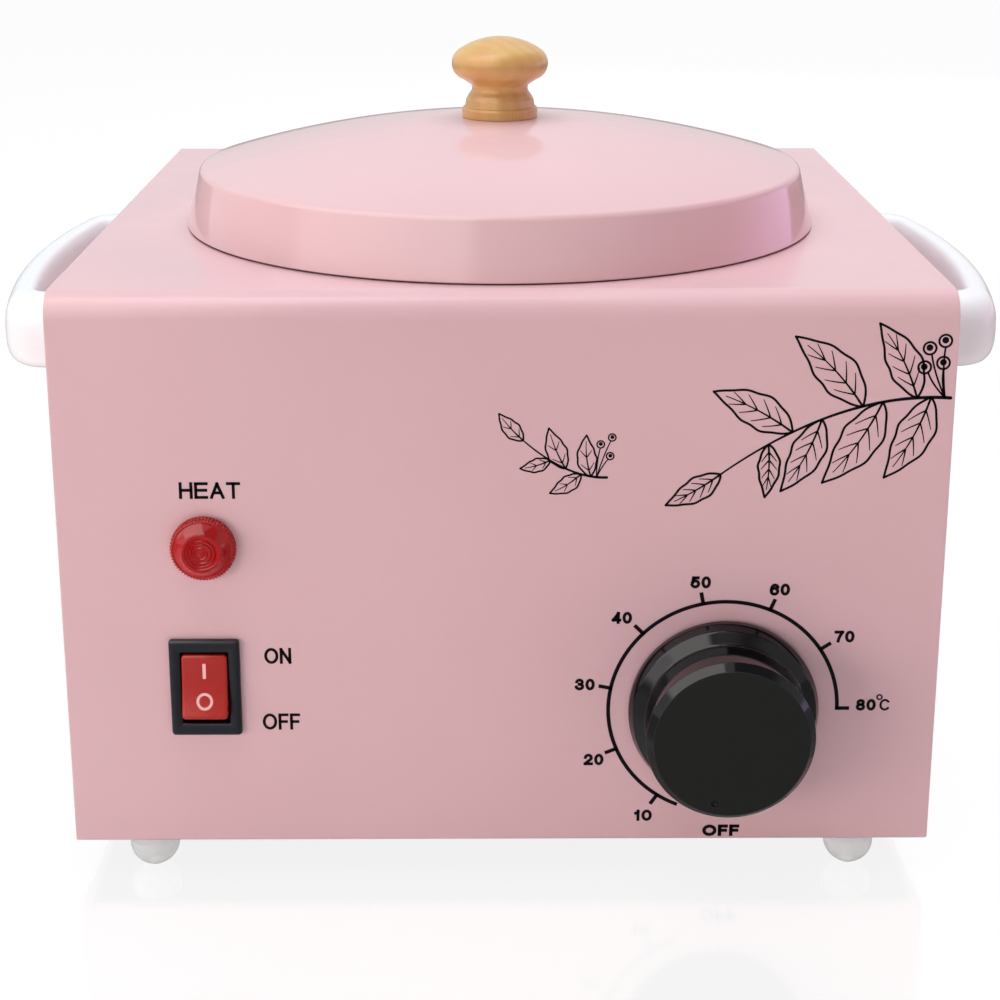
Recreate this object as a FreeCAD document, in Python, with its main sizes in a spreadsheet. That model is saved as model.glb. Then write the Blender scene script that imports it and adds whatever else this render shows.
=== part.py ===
import FreeCAD, Part
import math
import os
import re
import Sketcher
from FreeCAD import Placement, Rotation, Vector

# Candle wax melter: a folded steel housing that carries a heated well, a lift-out pot with a
# domed lid, two bow handles and a front panel with a dial, a rocker switch and a lamp.
# Frame: X to the right, Y from front to back, Z up, origin on the floor under the middle.

SIZES = {
    "Housing": {
        "CaseWidth": 300,
        "CaseDepth": 310,
        "CaseHeight": 198,
        "SheetWall": 1.0,
        "BendRadius": 9,
        "LipWidth": 18,
        "LipBend": 2,
        "SideInset": 0.5,
        "FlangeWidth": 12,
        "BaseInset": 4,
        "VentLength": 60,
        "VentWidth": 4,
        "VentPitch": 12,
        "VentCount": 9,
        "BaseScrewRadius": 1.5,
        "BaseScrewLength": 4,
        "BaseScrewHead": 3,
        "BaseScrewHeadHeight": 1.5,
        "BaseScrewSpread": 96,
    },
    "Feet": {
        "FootHeight": 13,
        "FootRadius": 8.75,
        "FootFlat": 2.5,
        "FootNeck": 7.4,
        "FootNeckHeight": 1.6,
        "FootStem": 2.4,
        "FootBarb": 3.6,
        "FootTip": 1.2,
        "FootBarbHeight": 4,
        "FootFromSide": 26,
        "FootFromFront": 10,
    },
    "Pot and well": {
        "PotRadius": 104,
        "PotWall": 1.2,
        "SpaceUnderPot": 60,
        "PotCorner": 12,
        "PotRim": 9,
        "BeadHeight": 3.4,
        "BeadRound": 1.5,
        "PotEdgeRound": 0.6,
        "PotGap": 3,
        "SeatGap": 0.3,
        "FloorGap": 1.2,
        "WellWall": 1,
        "WellFlange": 6,
        "WellHoleGap": 0.5,
    },
    "Lid": {
        "LidFromFront": 12.1,
        "LidOverhang": 6.4,
        "LidGap": 0.6,
        "LidWall": 0.9,
        "SkirtHeight": 21.4,
        "SkirtTaper": 5.4,
        "ShoulderRadius": 3,
        "DomeRise": 17.5,
    },
    "Lid knob": {
        "GripFoot": 14.5,
        "GripFootHeight": 3.6,
        "GripFootRound": 0.9,
        "GripRing": 13.3,
        "GripRingTop": 12.2,
        "GripRingHeight": 7.8,
        "GripNeck": 9.7,
        "GripNeckHeight": 11.4,
        "GripNeckRound": 2,
        "GripHead": 18.4,
        "GripHeadHeight": 20.2,
        "GripRound": 6.2,
        "GripChinAngle": 70,
        "GripCrownAngle": 55,
        "GripScrewRadius": 2,
        "GripScrewLength": 16,
        "GripScrewHead": 4,
        "GripScrewHeadHeight": 2.6,
        "GripWasher": 7,
        "GripWasherWall": 1,
    },
    "Handles": {
        "HandleFromTop": 10,
        "HandleFromFront": 29,
        "HandleLength": 176,
        "HandleHeight": 26,
        "HandleReach": 31,
        "HandleShoulder": 22,
        "HandleSlant": 6,
        "HandleBar": 12,
        "HandleLeg": 24,
        "HandleCorner": 15,
        "WindowCorner": 7,
        "HandleRound": 5,
        "HandleScrewRadius": 2,
        "HandleScrewLength": 14,
        "HandleScrewHead": 4,
        "HandleScrewHeadHeight": 2.4,
    },
    "Heater": {
        "HeaterRadius": 84,
        "HeaterThick": 9,
        "HeaterStud": 3,
        "HeaterStudLength": 18,
        "NutFlats": 10,
        "NutHeight": 5,
        "HeaterPinSpread": 12,
        "HeaterPinForward": 60,
        "HeaterPinRadius": 4,
        "HeaterPinLength": 9,
        "PadThick": 8,
        "PadOverhang": 14,
        "SleeveWall": 8,
        "SleeveClearance": 0.1,
        "SleeveGap": 26,
        "SleeveBelowTop": 6,
        "PadHoleGap": 3,
    },
    "Thermostat": {
        "DialFromRight": 73.7,
        "DialFromBottom": 50.7,
        "KnobGap": 0.6,
        "KnobProjection": 28,
        "KnobRadius": 32.8,
        "KnobFlangeHeight": 3,
        "KnobFlangeRound": 1,
        "KnobShoulder": 31.4,
        "KnobShoulderHeight": 6.6,
        "KnobShoulderRound": 1.5,
        "KnobWaist": 27.4,
        "KnobWaistHeight": 9.4,
        "KnobCap": 28.4,
        "KnobCapHeight": 25.6,
        "KnobFace": 26.6,
        "KnobWall": 2.2,
        "KnobHub": 6.5,
        "KnobHubGap": 1.2,
        "KnobDimple": 0.9,
        "KnobDimpleFromCentre": 22,
        "ShaftRadius": 3,
        "ShaftFlat": 1.5,
        "ShaftOut": 17,
        "ShaftIn": 20,
        "RunningGap": 0.05,
        "PressGap": 0.02,
        "BushRadius": 4.8,
        "BushOut": 3,
        "ControlWidth": 46,
        "ControlHeight": 40,
        "ControlDepth": 26,
        "ControlCorner": 2.4,
        "ControlScrewSpread": 14,
        "ControlScrewRadius": 2,
        "ControlScrewHead": 3.5,
        "ControlScrewHeadHeight": 2.2,
        "ControlScrewLength": 8,
        "PanelHoleGap": 0.4,
        "BladeWidth": 6.3,
        "BladeWall": 0.8,
        "BladeLength": 8,
        "ControlBladeSpread": 10,
    },
    "Sensing bulb": {
        "BulbFromDial": 5,
        "BulbRadius": 3,
        "BulbLength": 70,
        "BulbAboveCorner": 7,
        "CapillaryRadius": 0.8,
        "ClipWall": 0.8,
        "ClipHeight": 12,
    },
    "Cut-out": {
        "CutoutRadius": 8.5,
        "CutoutHeight": 8,
        "CutoutRight": 36,
        "CutoutForward": 30,
        "CutoutPlateLength": 32,
        "CutoutPlateWidth": 10,
        "CutoutScrewSpread": 12,
        "CutoutScrewRadius": 1.5,
        "CutoutScrewHead": 2.7,
        "CutoutScrewHeadHeight": 1.5,
        "CutoutBladeSpread": 4.5,
    },
    "Lamp": {
        "LampFromLeft": 49.3,
        "LampFromBottom": 110.5,
        "LampRadius": 11.2,
        "LampRimHeight": 3.2,
        "LampRound": 1,
        "LampFace": 7.6,
        "LampHeight": 7,
        "LampStem": 6,
        "LampStemLength": 18,
        "LampNutFlats": 17,
        "LampNutHeight": 4,
        "LampLeadSpread": 3,
    },
    "Switch": {
        "SwitchFromLeft": 48,
        "SwitchFromBottom": 59.5,
        "BezelWidth": 24.2,
        "BezelHeight": 35.4,
        "BezelProud": 2.2,
        "BezelBevel": 1,
        "SwitchBodyWidth": 21.6,
        "SwitchBodyHeight": 30,
        "SwitchBodyDepth": 24,
        "RockerWidth": 15.5,
        "RockerHeight": 22.8,
        "RockerEnd": 4.4,
        "RockerMiddle": 3.2,
        "RockerEdge": 1.1,
        "RockerFoot": 14,
        "RockerDepth": 8,
        "RockerSideGap": 0.35,
        "RockerEndGap": 1.7,
        "RockerWellDepth": 12,
        "PivotDepth": 4,
        "PivotRadius": 1.5,
        "PivotLength": 1.2,
        "RockerTilt": 9,
        "SwitchBladeAcross": 7,
        "SwitchBladeUp": 7,
    },
    "Mains inlet": {
        "InletFromSide": 48,
        "InletFromBottom": 40,
        "InletProud": 3,
        "InletFlangeWidth": 50,
        "InletFlangeHeight": 31,
        "InletFlangeCorner": 4,
        "InletBodyWidth": 27.6,
        "InletBodyHeight": 21,
        "InletDepth": 20,
        "SocketWidth": 24.2,
        "SocketHeight": 16.6,
        "SocketDepth": 17,
        "SocketCorner": 4,
        "InletPinAcross": 7,
        "InletPinUp": 2,
        "InletPinWidth": 2,
        "InletPinHeight": 4,
        "InletPinOut": 11,
        "InletPinTail": 8,
        "InletScrewSpread": 20,
        "InletScrewRadius": 1.5,
        "InletScrewHead": 2.8,
        "InletScrewHeadHeight": 1.8,
        "InletScrewLength": 8,
    },
    "Wiring": {
        "WireRadius": 1.1,
        "WireBend": 4,
        "WireAboveBase": 10,
        "WireStep": 8,
        "WireRun": 14,
        "EarthAcross": 30,
        "EarthRun": 24,
        "EarthStudRadius": 2,
        "EarthStudHeight": 11,
        "EarthHead": 3.5,
        "EarthHeadHeight": 1.6,
        "EarthNutFlats": 7,
        "EarthNutHeight": 3,
    },
}

doc = FreeCAD.newDocument("WaxMelter")
sheet = doc.addObject("Spreadsheet::Sheet", "Sizes")
row = 0
for group, entries in SIZES.items():
    row += 1
    sheet.set(f"A{row}", group)
    for alias, number in entries.items():
        row += 1
        sheet.set(f"A{row}", alias)
        sheet.set(f"B{row}", str(number))
        sheet.setAlias(f"B{row}", alias)
doc.recompute()

pieces = []


# ---- Helpers: sizes, sketches and features ---------------------------------------------------

def named(text):
    """Expression in which each capitalised word reads its cell of the sheet."""
    return re.sub(r"\b[A-Z]\w*", r"Sizes.\g<0>", text)


def value(text):
    """Number that an expression gives with the sheet's sizes."""
    return float(sheet.evalExpression(named(text)))


def bind(item, **texts):
    """Tie properties of an object to expressions."""
    for name, text in texts.items():
        item.setExpression(name, named(text))


def place(item, spot, turn=None):
    """Turn an object and tie its place to three expressions."""
    item.Placement = Placement(Vector(), turn or Rotation())
    for axis, text in zip("xyz", spot):
        item.setExpression(f"Placement.Base.{axis}", named(text))


def body(label, spot=("0", "0", "0"), turn=None):
    """Empty body that becomes one sub-part."""
    item = doc.addObject("PartDesign::Body", label)
    item.Label = label
    place(item, spot, turn)
    pieces.append(item)
    return item


def sketch_on(owner, plane, offset="0"):
    """Sketch on one of a body's own origin planes, moved along its normal."""
    support = next(item for item in owner.Origin.OriginFeatures if item.Role == plane)
    sketch = owner.newObject("Sketcher::SketchObject", owner.Name + "_Sketch")
    sketch.AttachmentSupport = [(support, "")]
    sketch.MapMode = "FlatFace"
    if offset != "0":
        sketch.setExpression("AttachmentOffset.Base.z", named(offset))
    return sketch


def pin(sketch, geometry, end, spot):
    """Hold a point of the sketch at two expressions from its origin."""
    for kind, axis, text in zip(("DistanceX", "DistanceY"), (-2, -1), spot):
        if text == "0":
            sketch.addConstraint(Sketcher.Constraint("PointOnObject", geometry, end, axis))
        else:
            rule = Sketcher.Constraint(kind, -1, 1, geometry, end, value(text))
            number = sketch.addConstraint(rule)
            sketch.setExpression(f"Constraints[{number}]", named(text))


def size_circle(sketch, geometry, radius):
    """Hold the radius of a circle or arc at an expression."""
    number = sketch.addConstraint(Sketcher.Constraint("Radius", geometry, value(radius)))
    sketch.setExpression(f"Constraints[{number}]", named(radius))


def arc_between(start, end, radius, side):
    """Short arc that bulges to the right (side 1) or to the left (side -1) of its chord."""
    chord = end - start
    across = Vector(chord.y, -chord.x, 0).normalize() * side
    rise = radius - max(radius ** 2 - (chord.Length / 2) ** 2, 0) ** 0.5
    return Part.Arc(start, (start + end) * 0.5 + across * rise, end)


def outline(owner, plane, corners, offset="0"):
    """Closed outline. A corner is (across, up), or (across, up, radius, side) where an arc leads
    to the next corner and bulges to the right (1) or left (-1) of the way."""
    sketch = sketch_on(owner, plane, offset)
    spots = [Vector(value(corner[0]), value(corner[1]), 0) for corner in corners]
    edges = []
    for index, corner in enumerate(corners):
        start = spots[index]
        end = spots[(index + 1) % len(corners)]
        if len(corner) == 2:
            edges.append((sketch.addGeometry(Part.LineSegment(start, end)), 1, 2))
            continue
        radius = value(corner[2])
        geometry = sketch.addGeometry(arc_between(start, end, radius, corner[3]))
        forward = sketch.getPoint(geometry, 1).isEqual(start, 1e-6)
        edges.append((geometry, 1, 2) if forward else (geometry, 2, 1))
    for index, (geometry, start_end, far_end) in enumerate(edges):
        following = edges[(index + 1) % len(edges)]
        joint = Sketcher.Constraint("Coincident", geometry, far_end, following[0], following[1])
        sketch.addConstraint(joint)
    for (geometry, start_end, far_end), corner in zip(edges, corners):
        pin(sketch, geometry, start_end, corner[:2])
        if len(corner) == 4:
            size_circle(sketch, geometry, corner[2])
    return sketch


def rectangle(owner, plane, left, right, low, high, offset="0"):
    """Rectangular outline."""
    corners = [(left, low), (right, low), (right, high), (left, high)]
    return outline(owner, plane, corners, offset)


def circles(owner, plane, spots, offset="0"):
    """Circles, each (across, up, radius)."""
    sketch = sketch_on(owner, plane, offset)
    for across, up, radius in spots:
        middle = Vector(value(across), value(up), 0)
        circle = Part.Circle(middle, Vector(0, 0, 1), value(radius))
        geometry = sketch.addGeometry(circle)
        pin(sketch, geometry, 3, (across, up))
        size_circle(sketch, geometry, radius)
    return sketch


def pad(owner, sketch, length, side="One side", backwards=False):
    """Solid made by pulling a sketch along its normal."""
    feature = owner.newObject("PartDesign::Pad", owner.Name + "_Pad")
    feature.Profile = sketch
    feature.SideType = side
    feature.Reversed = backwards
    bind(feature, Length=length)
    return feature


def pocket(owner, sketch, length=None, backwards=False, side="One side"):
    """Cut a sketch against its normal to a depth, or both ways through all with no length."""
    doc.recompute()
    before = owner.Shape.Volume
    feature = owner.newObject("PartDesign::Pocket", owner.Name + "_Pocket")
    feature.Profile = sketch
    feature.Reversed = backwards
    if length is None:
        feature.Type = "ThroughAll"
        feature.SideType = "Symmetric"
    else:
        feature.SideType = side
        bind(feature, Length=length)
    doc.recompute()
    if not owner.Shape.Volume < before:
        raise ValueError(f"{feature.Name} cuts nothing")
    return feature


def turned(owner, corners, angle="360"):
    """Solid of revolution about the body's Z axis."""
    sketch = outline(owner, "XZ_Plane", corners)
    feature = owner.newObject("PartDesign::Revolution", owner.Name + "_Turned")
    feature.Profile = sketch
    feature.ReferenceAxis = (sketch, ["V_Axis"])
    bind(feature, Angle=angle)
    return feature


def fillet(owner, radius, chosen):
    """Round the edges for which chosen(edge) is true."""
    doc.recompute()
    base = owner.Tip
    edges = base.Shape.Edges
    names = [f"Edge{number + 1}" for number, edge in enumerate(edges) if chosen(edge)]
    if not names:
        raise ValueError(f"{owner.Name} has no such edge")
    feature = owner.newObject("PartDesign::Fillet", owner.Name + "_Fillet")
    feature.Base = (base, names)
    bind(feature, Radius=radius)
    return feature


def middle_of(edge):
    """Point halfway along an edge."""
    return edge.valueAt((edge.FirstParameter + edge.LastParameter) / 2)


def along(edge, axis):
    """Whether a straight edge runs along an axis."""
    if edge.Degenerated or edge.Curve.TypeId != "Part::GeomLine":
        return False
    return abs(abs(edge.tangentAt(edge.FirstParameter).dot(axis)) - 1) < 1e-6


def near(number, text):
    """Whether a coordinate is at an expression."""
    return abs(number - value(text)) < 1e-4


def circle_at(radius, up):
    """Chooser of the circles about Z with this radius and height."""
    def chosen(edge):
        if edge.Degenerated or edge.Curve.TypeId != "Part::GeomCircle":
            return False
        return near(edge.Curve.Radius, radius) and near(edge.Curve.Center.z, up)
    return chosen


def cylinder(name, radius, length, spot=("0", "0", "0"), turn=None):
    """Round bar from its place along its own Z axis."""
    item = doc.addObject("Part::Cylinder", name)
    bind(item, Radius=radius, Height=length)
    place(item, spot, turn)
    return item


def box(name, width, depth, height, spot):
    """Block centred on its place in X and Y and standing on it in Z."""
    item = doc.addObject("Part::Box", name)
    bind(item, Length=width, Width=depth, Height=height)
    across, back, up = spot
    place(item, (f"{across} - ({width}) / 2", f"{back} - ({depth}) / 2", up))
    return item


def joined(label, members, spot=("0", "0", "0"), turn=None, piece=True):
    """One solid of several overlapping or touching members."""
    item = doc.addObject("Part::MultiFuse", label)
    item.Label = label
    item.Shapes = members
    place(item, spot, turn)
    if piece:
        pieces.append(item)
    return item


def cut_from(label, whole, tool, spot=("0", "0", "0"), turn=None, piece=True):
    """A member less another."""
    item = doc.addObject("Part::Cut", label)
    item.Label = label
    item.Base = whole
    item.Tool = tool
    place(item, spot, turn)
    if piece:
        pieces.append(item)
    return item


def grouped(label, members, spot=("0", "0", "0"), turn=None):
    """One sub-part of separate like solids."""
    item = doc.addObject("Part::Compound", label)
    item.Label = label
    item.Links = members
    place(item, spot, turn)
    pieces.append(item)
    return item


def screw(name, radius, length, head, head_height, spot, turn=None, piece=False):
    """Pan-head screw: its shank runs along its own Z axis and its head lies below Z = 0."""
    shank = cylinder(name + "_shank", radius, length)
    cap = cylinder(name + "_head", head, head_height, ("0", "0", f"-({head_height})"))
    return joined(name, [shank, cap], spot, turn, piece)


def hex_nut(name, flats, height, bore, spot, turn=None, piece=True):
    """Six-sided nut on its own Z axis."""
    block = doc.addObject("Part::Prism", name + "_block")
    block.Polygon = 6
    bind(block, Circumradius=f"{flats} / 2 / cos(30)", Height=height)
    hole = cylinder(name + "_hole", bore, height)
    return cut_from(name, block, hole, spot, turn, piece)


def tube(label, radius, spots, piece=True):
    """Round wire along straight runs joined by arcs of the wiring's bend radius."""
    corners = [Vector(*(value(text) for text in spot)) for spot in spots]
    bend = value("WireBend")
    edges = []
    start = corners[0]
    for before, corner, after in zip(corners, corners[1:], corners[2:]):
        arriving = (corner - before).normalize()
        leaving = (after - corner).normalize()
        half_turn = arriving.getAngle(leaving) / 2
        if half_turn < math.radians(1):
            continue
        reach = bend * math.tan(half_turn)
        inward = (leaving - arriving).normalize() * bend * (1 / math.cos(half_turn) - 1)
        entry = corner - arriving * reach
        leave = corner + leaving * reach
        edges.append(Part.makeLine(start, entry))
        edges.append(Part.Arc(entry, corner + inward, leave).toShape())
        start = leave
    edges.append(Part.makeLine(start, corners[-1]))
    path = Part.Wire(edges)
    section = Part.Wire(Part.makeCircle(value(radius), corners[0], corners[1] - corners[0]))
    item = doc.addObject("Part::Feature", label)
    item.Label = label
    item.Shape = path.makePipeShell([section], True, False)
    expected = path.Length * math.pi * value(radius) ** 2
    if abs(item.Shape.Volume / expected - 1) > 0.01:
        raise ValueError(f"{label} has a wrong volume")
    if piece:
        pieces.append(item)
    return item


# ---- Places that several pieces share --------------------------------------------------------

case_y = "((KnobProjection - InletProud - InletScrewHeadHeight) / 2)"
front = f"({case_y} - CaseDepth / 2)"
rear = f"({case_y} + CaseDepth / 2)"
top = "(FootHeight + CaseHeight)"
pot_depth = "(CaseHeight - SpaceUnderPot)"
well_inner = "(PotRadius + PotGap)"
well_outer = f"({well_inner} + WellWall)"
well_rim = f"({well_outer} + WellFlange)"
lid_radius = f"({well_rim} + LidOverhang)"
axis_in_case = f"(LidFromFront + {lid_radius} - CaseDepth / 2)"
axis_y = f"({case_y} + {axis_in_case})"
well_depth = f"({pot_depth} + FloorGap - WellWall - SeatGap)"
well_bottom = f"({top} - {well_depth} - WellWall)"
heater_bottom = f"({well_bottom} - HeaterThick)"
sleeve_inner = f"({well_outer} + SleeveClearance)"
sleeve_outer = f"({sleeve_inner} + SleeveWall)"

dial_x = "(CaseWidth / 2 - DialFromRight)"
lamp_x = "(LampFromLeft - CaseWidth / 2)"
switch_x = "(SwitchFromLeft - CaseWidth / 2)"
inlet_x = "(InletFromSide - CaseWidth / 2)"

side_face = "(CaseWidth / 2 - SideInset)"
handle_middle = "(HandleFromFront + HandleLength / 2 - CaseDepth / 2)"
handle_screw_spread = "(HandleLength / 2 - HandleLeg / 2)"
handle_up = f"({top} - HandleFromTop - HandleHeight / 2)"
inlet_tail = f"({rear} - InletDepth - InletPinTail)"
earth_x = f"({inlet_x} + EarthAcross)"
earth_y = f"({inlet_tail} - EarthRun)"

CASE_SPOT = ("0", case_y, "FootHeight")
FORWARD = Rotation(Vector(1, 0, 0), 90)
BACKWARD = Rotation(Vector(0, 0, 1), 180) * FORWARD
RIGHTWARD = Rotation(Vector(0, 1, 0), 90)
LEFTWARD = Rotation(Vector(0, 1, 0), -90)
DOWNWARD = Rotation(Vector(1, 0, 0), 180)
AXIS_X = Vector(1, 0, 0)
AXIS_Z = Vector(0, 0, 1)

foot_spots = {
    f"foot_{end}_{side}": (f"{sign_x} * (CaseWidth / 2 - FootFromSide)",
                           f"{sign_y} * (CaseDepth / 2 - FootFromFront)")
    for end, sign_y in (("front", "-1"), ("rear", "1"))
    for side, sign_x in (("left", "-1"), ("right", "1"))
}
base_screw_spots = [
    (f"{across} * BaseScrewSpread", f"{sign} * (CaseDepth / 2 - FootFromFront)")
    for sign in ("-1", "1")
    for across in ("-1", "0", "1")
]


# ---- Housing ---------------------------------------------------------------------------------

def make_casing_wrap():
    """Front, top and back of one bent sheet, with its holes and the bottom lips."""
    wrap = body("casing_wrap", CASE_SPOT)
    half = "CaseDepth / 2"
    corners = [
        (f"LipWidth - {half}", "0"),
        (f"-{half}", "0"),
        (f"-{half}", "CaseHeight"),
        (half, "CaseHeight"),
        (half, "0"),
        (f"{half} - LipWidth", "0"),
        (f"{half} - LipWidth", "SheetWall"),
        (f"{half} - SheetWall", "SheetWall"),
        (f"{half} - SheetWall", "CaseHeight - SheetWall"),
        (f"SheetWall - {half}", "CaseHeight - SheetWall"),
        (f"SheetWall - {half}", "SheetWall"),
        (f"LipWidth - {half}", "SheetWall"),
    ]
    pad(wrap, outline(wrap, "YZ_Plane", corners), "CaseWidth", "Symmetric")

    def bend(depth, up):
        """Chooser of the long edges at this distance from the middle and this height."""
        def chosen(edge):
            spot = middle_of(edge)
            return along(edge, AXIS_X) and near(abs(spot.y), depth) and near(spot.z, up)
        return chosen

    fillet(wrap, "BendRadius", bend(half, "CaseHeight"))
    fillet(wrap, "BendRadius - SheetWall", bend(f"{half} - SheetWall", "CaseHeight - SheetWall"))
    fillet(wrap, "LipBend", bend(half, "0"))
    fillet(wrap, "LipBend - SheetWall", bend(f"{half} - SheetWall", "SheetWall"))

    well_hole = [("0", axis_in_case, f"{well_outer} + WellHoleGap")]
    pocket(wrap, circles(wrap, "XY_Plane", well_hole, "CaseHeight"), "2 * SheetWall")
    dial_holes = [(dial_x, "DialFromBottom", "BushRadius + PanelHoleGap")]
    for sign in "+-":
        across = f"{dial_x} {sign} ControlScrewSpread"
        dial_holes.append((across, "DialFromBottom", "ControlScrewRadius + RunningGap"))
    lamp_hole = (lamp_x, "LampFromBottom", "LampStem + PanelHoleGap")
    front_holes = circles(wrap, "XZ_Plane", dial_holes + [lamp_hole], half)
    pocket(wrap, front_holes, "2 * SheetWall")
    switch_hole = rectangle(
        wrap, "XZ_Plane",
        f"{switch_x} - SwitchBodyWidth / 2 - PanelHoleGap",
        f"{switch_x} + SwitchBodyWidth / 2 + PanelHoleGap",
        "SwitchFromBottom - SwitchBodyHeight / 2 - PanelHoleGap",
        "SwitchFromBottom + SwitchBodyHeight / 2 + PanelHoleGap",
        half)
    pocket(wrap, switch_hole, "2 * SheetWall")
    inlet_hole = rectangle(
        wrap, "XZ_Plane",
        f"{inlet_x} - InletBodyWidth / 2 - PanelHoleGap",
        f"{inlet_x} + InletBodyWidth / 2 + PanelHoleGap",
        "InletFromBottom - InletBodyHeight / 2 - PanelHoleGap",
        "InletFromBottom + InletBodyHeight / 2 + PanelHoleGap",
        f"-{half}")
    pocket(wrap, inlet_hole, "2 * SheetWall", backwards=True)
    inlet_screw_holes = [
        (f"{inlet_x} {sign} InletScrewSpread", "InletFromBottom", "InletScrewRadius + RunningGap")
        for sign in "+-"
    ]
    pocket(wrap, circles(wrap, "XZ_Plane", inlet_screw_holes, f"-{half}"), "2 * SheetWall",
           backwards=True)
    lip_holes = [(across, back, "FootStem + RunningGap") for across, back in foot_spots.values()]
    lip_holes += [(across, back, "BaseScrewRadius + PressGap") for across, back in base_screw_spots]
    pocket(wrap, circles(wrap, "XY_Plane", lip_holes), "2 * SheetWall", backwards=True)


def make_side_panel(label, sign):
    """Flat side with a flange bent inward all round, welded inside the wrap."""
    panel = body(label, CASE_SPOT)
    reach = "(CaseDepth / 2 - SheetWall)"
    inner_face = f"({side_face} - FlangeWidth)"
    blank = rectangle(panel, "YZ_Plane", f"-{reach}", reach, "SheetWall", "CaseHeight - SheetWall",
                      f"{sign} * {inner_face}")
    pad(panel, blank, "FlangeWidth", backwards=sign == "-1")

    def corner_at(up):
        """Chooser of the edges across the panel's thickness at this height."""
        return lambda edge: along(edge, AXIS_X) and near(middle_of(edge).z, up)

    fillet(panel, "BendRadius - SheetWall", corner_at("CaseHeight - SheetWall"))
    fillet(panel, "LipBend - SheetWall", corner_at("SheetWall"))
    inside = rectangle(panel, "YZ_Plane", f"SheetWall - {reach}", f"{reach} - SheetWall",
                       "2 * SheetWall", "CaseHeight - 2 * SheetWall", f"{sign} * {inner_face}")
    pocket(panel, inside, "FlangeWidth - SheetWall", backwards=sign == "1")
    screw_holes = [
        (f"{handle_middle} {way} {handle_screw_spread}", f"{handle_up} - FootHeight",
         "HandleScrewRadius + RunningGap")
        for way in "+-"
    ]
    pocket(panel, circles(panel, "YZ_Plane", screw_holes))


def make_base_plate():
    """Bottom plate under the lips, with vents and the holes of its screws and feet."""
    plate = body("base_plate", CASE_SPOT)
    half_width = "(CaseWidth / 2 - BaseInset)"
    half_depth = "(CaseDepth / 2 - BaseInset)"
    sheet_outline = rectangle(plate, "XY_Plane", f"-{half_width}", half_width, f"-{half_depth}",
                              half_depth)
    pad(plate, sheet_outline, "SheetWall", backwards=True)
    holes = [(across, back, "FootStem + RunningGap") for across, back in foot_spots.values()]
    holes += [(across, back, "BaseScrewRadius + RunningGap") for across, back in base_screw_spots]
    holes.append((earth_x, f"{earth_y} - {case_y}", "EarthStudRadius + RunningGap"))
    pocket(plate, circles(plate, "XY_Plane", holes))
    first_vent = "VentPitch * (1 - VentCount) / 2"
    end_radius = "VentWidth / 2"
    vent = outline(plate, "XY_Plane", [
        (f"{first_vent} - {end_radius}", "-VentLength / 2", end_radius, 1),
        (first_vent, f"-VentLength / 2 - {end_radius}", end_radius, 1),
        (f"{first_vent} + {end_radius}", "-VentLength / 2"),
        (f"{first_vent} + {end_radius}", "VentLength / 2", end_radius, 1),
        (first_vent, f"VentLength / 2 + {end_radius}", end_radius, 1),
        (f"{first_vent} - {end_radius}", "VentLength / 2"),
    ])
    cut = pocket(plate, vent)
    row_of_vents = plate.newObject("PartDesign::LinearPattern", "vent_row")
    row_of_vents.Originals = [cut]
    row_of_vents.Direction = (vent, ["H_Axis"])
    bind(row_of_vents, Length="VentPitch * (VentCount - 1)", Occurrences="VentCount")
    plate.Tip = row_of_vents


def make_base_screws():
    """Self-tapping screws through the base plate into the lips."""
    members = []
    for number, (across, back) in enumerate(base_screw_spots):
        spot = (across, f"{case_y} + {back}", "FootHeight - SheetWall")
        members.append(screw(f"base_screw_{number}", "BaseScrewRadius", "BaseScrewLength",
                             "BaseScrewHead", "BaseScrewHeadHeight", spot))
    grouped("base_screws", members)


def make_foot(label, across, back):
    """Soft domed foot whose barbed stem is pushed through the base plate and the lip."""
    foot = body(label, (across, f"{case_y} + {back}", "0"))
    plate_under = "(FootHeight - SheetWall)"
    lip_over = "(FootHeight + SheetWall)"
    equator = "sqrt(FootRadius ^ 2 - FootFlat ^ 2)"
    turned(foot, [
        ("0", "0"),
        ("FootFlat", "0", "FootRadius", 1),
        ("FootRadius", equator),
        ("FootRadius", f"{plate_under} - FootNeckHeight"),
        ("FootNeck", plate_under),
        ("FootStem", plate_under),
        ("FootStem", f"{lip_over} + RunningGap"),
        ("FootBarb", f"{lip_over} + RunningGap"),
        ("FootTip", f"{lip_over} + FootBarbHeight"),
        ("0", f"{lip_over} + FootBarbHeight"),
    ])


# ---- Handles ---------------------------------------------------------------------------------

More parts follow.
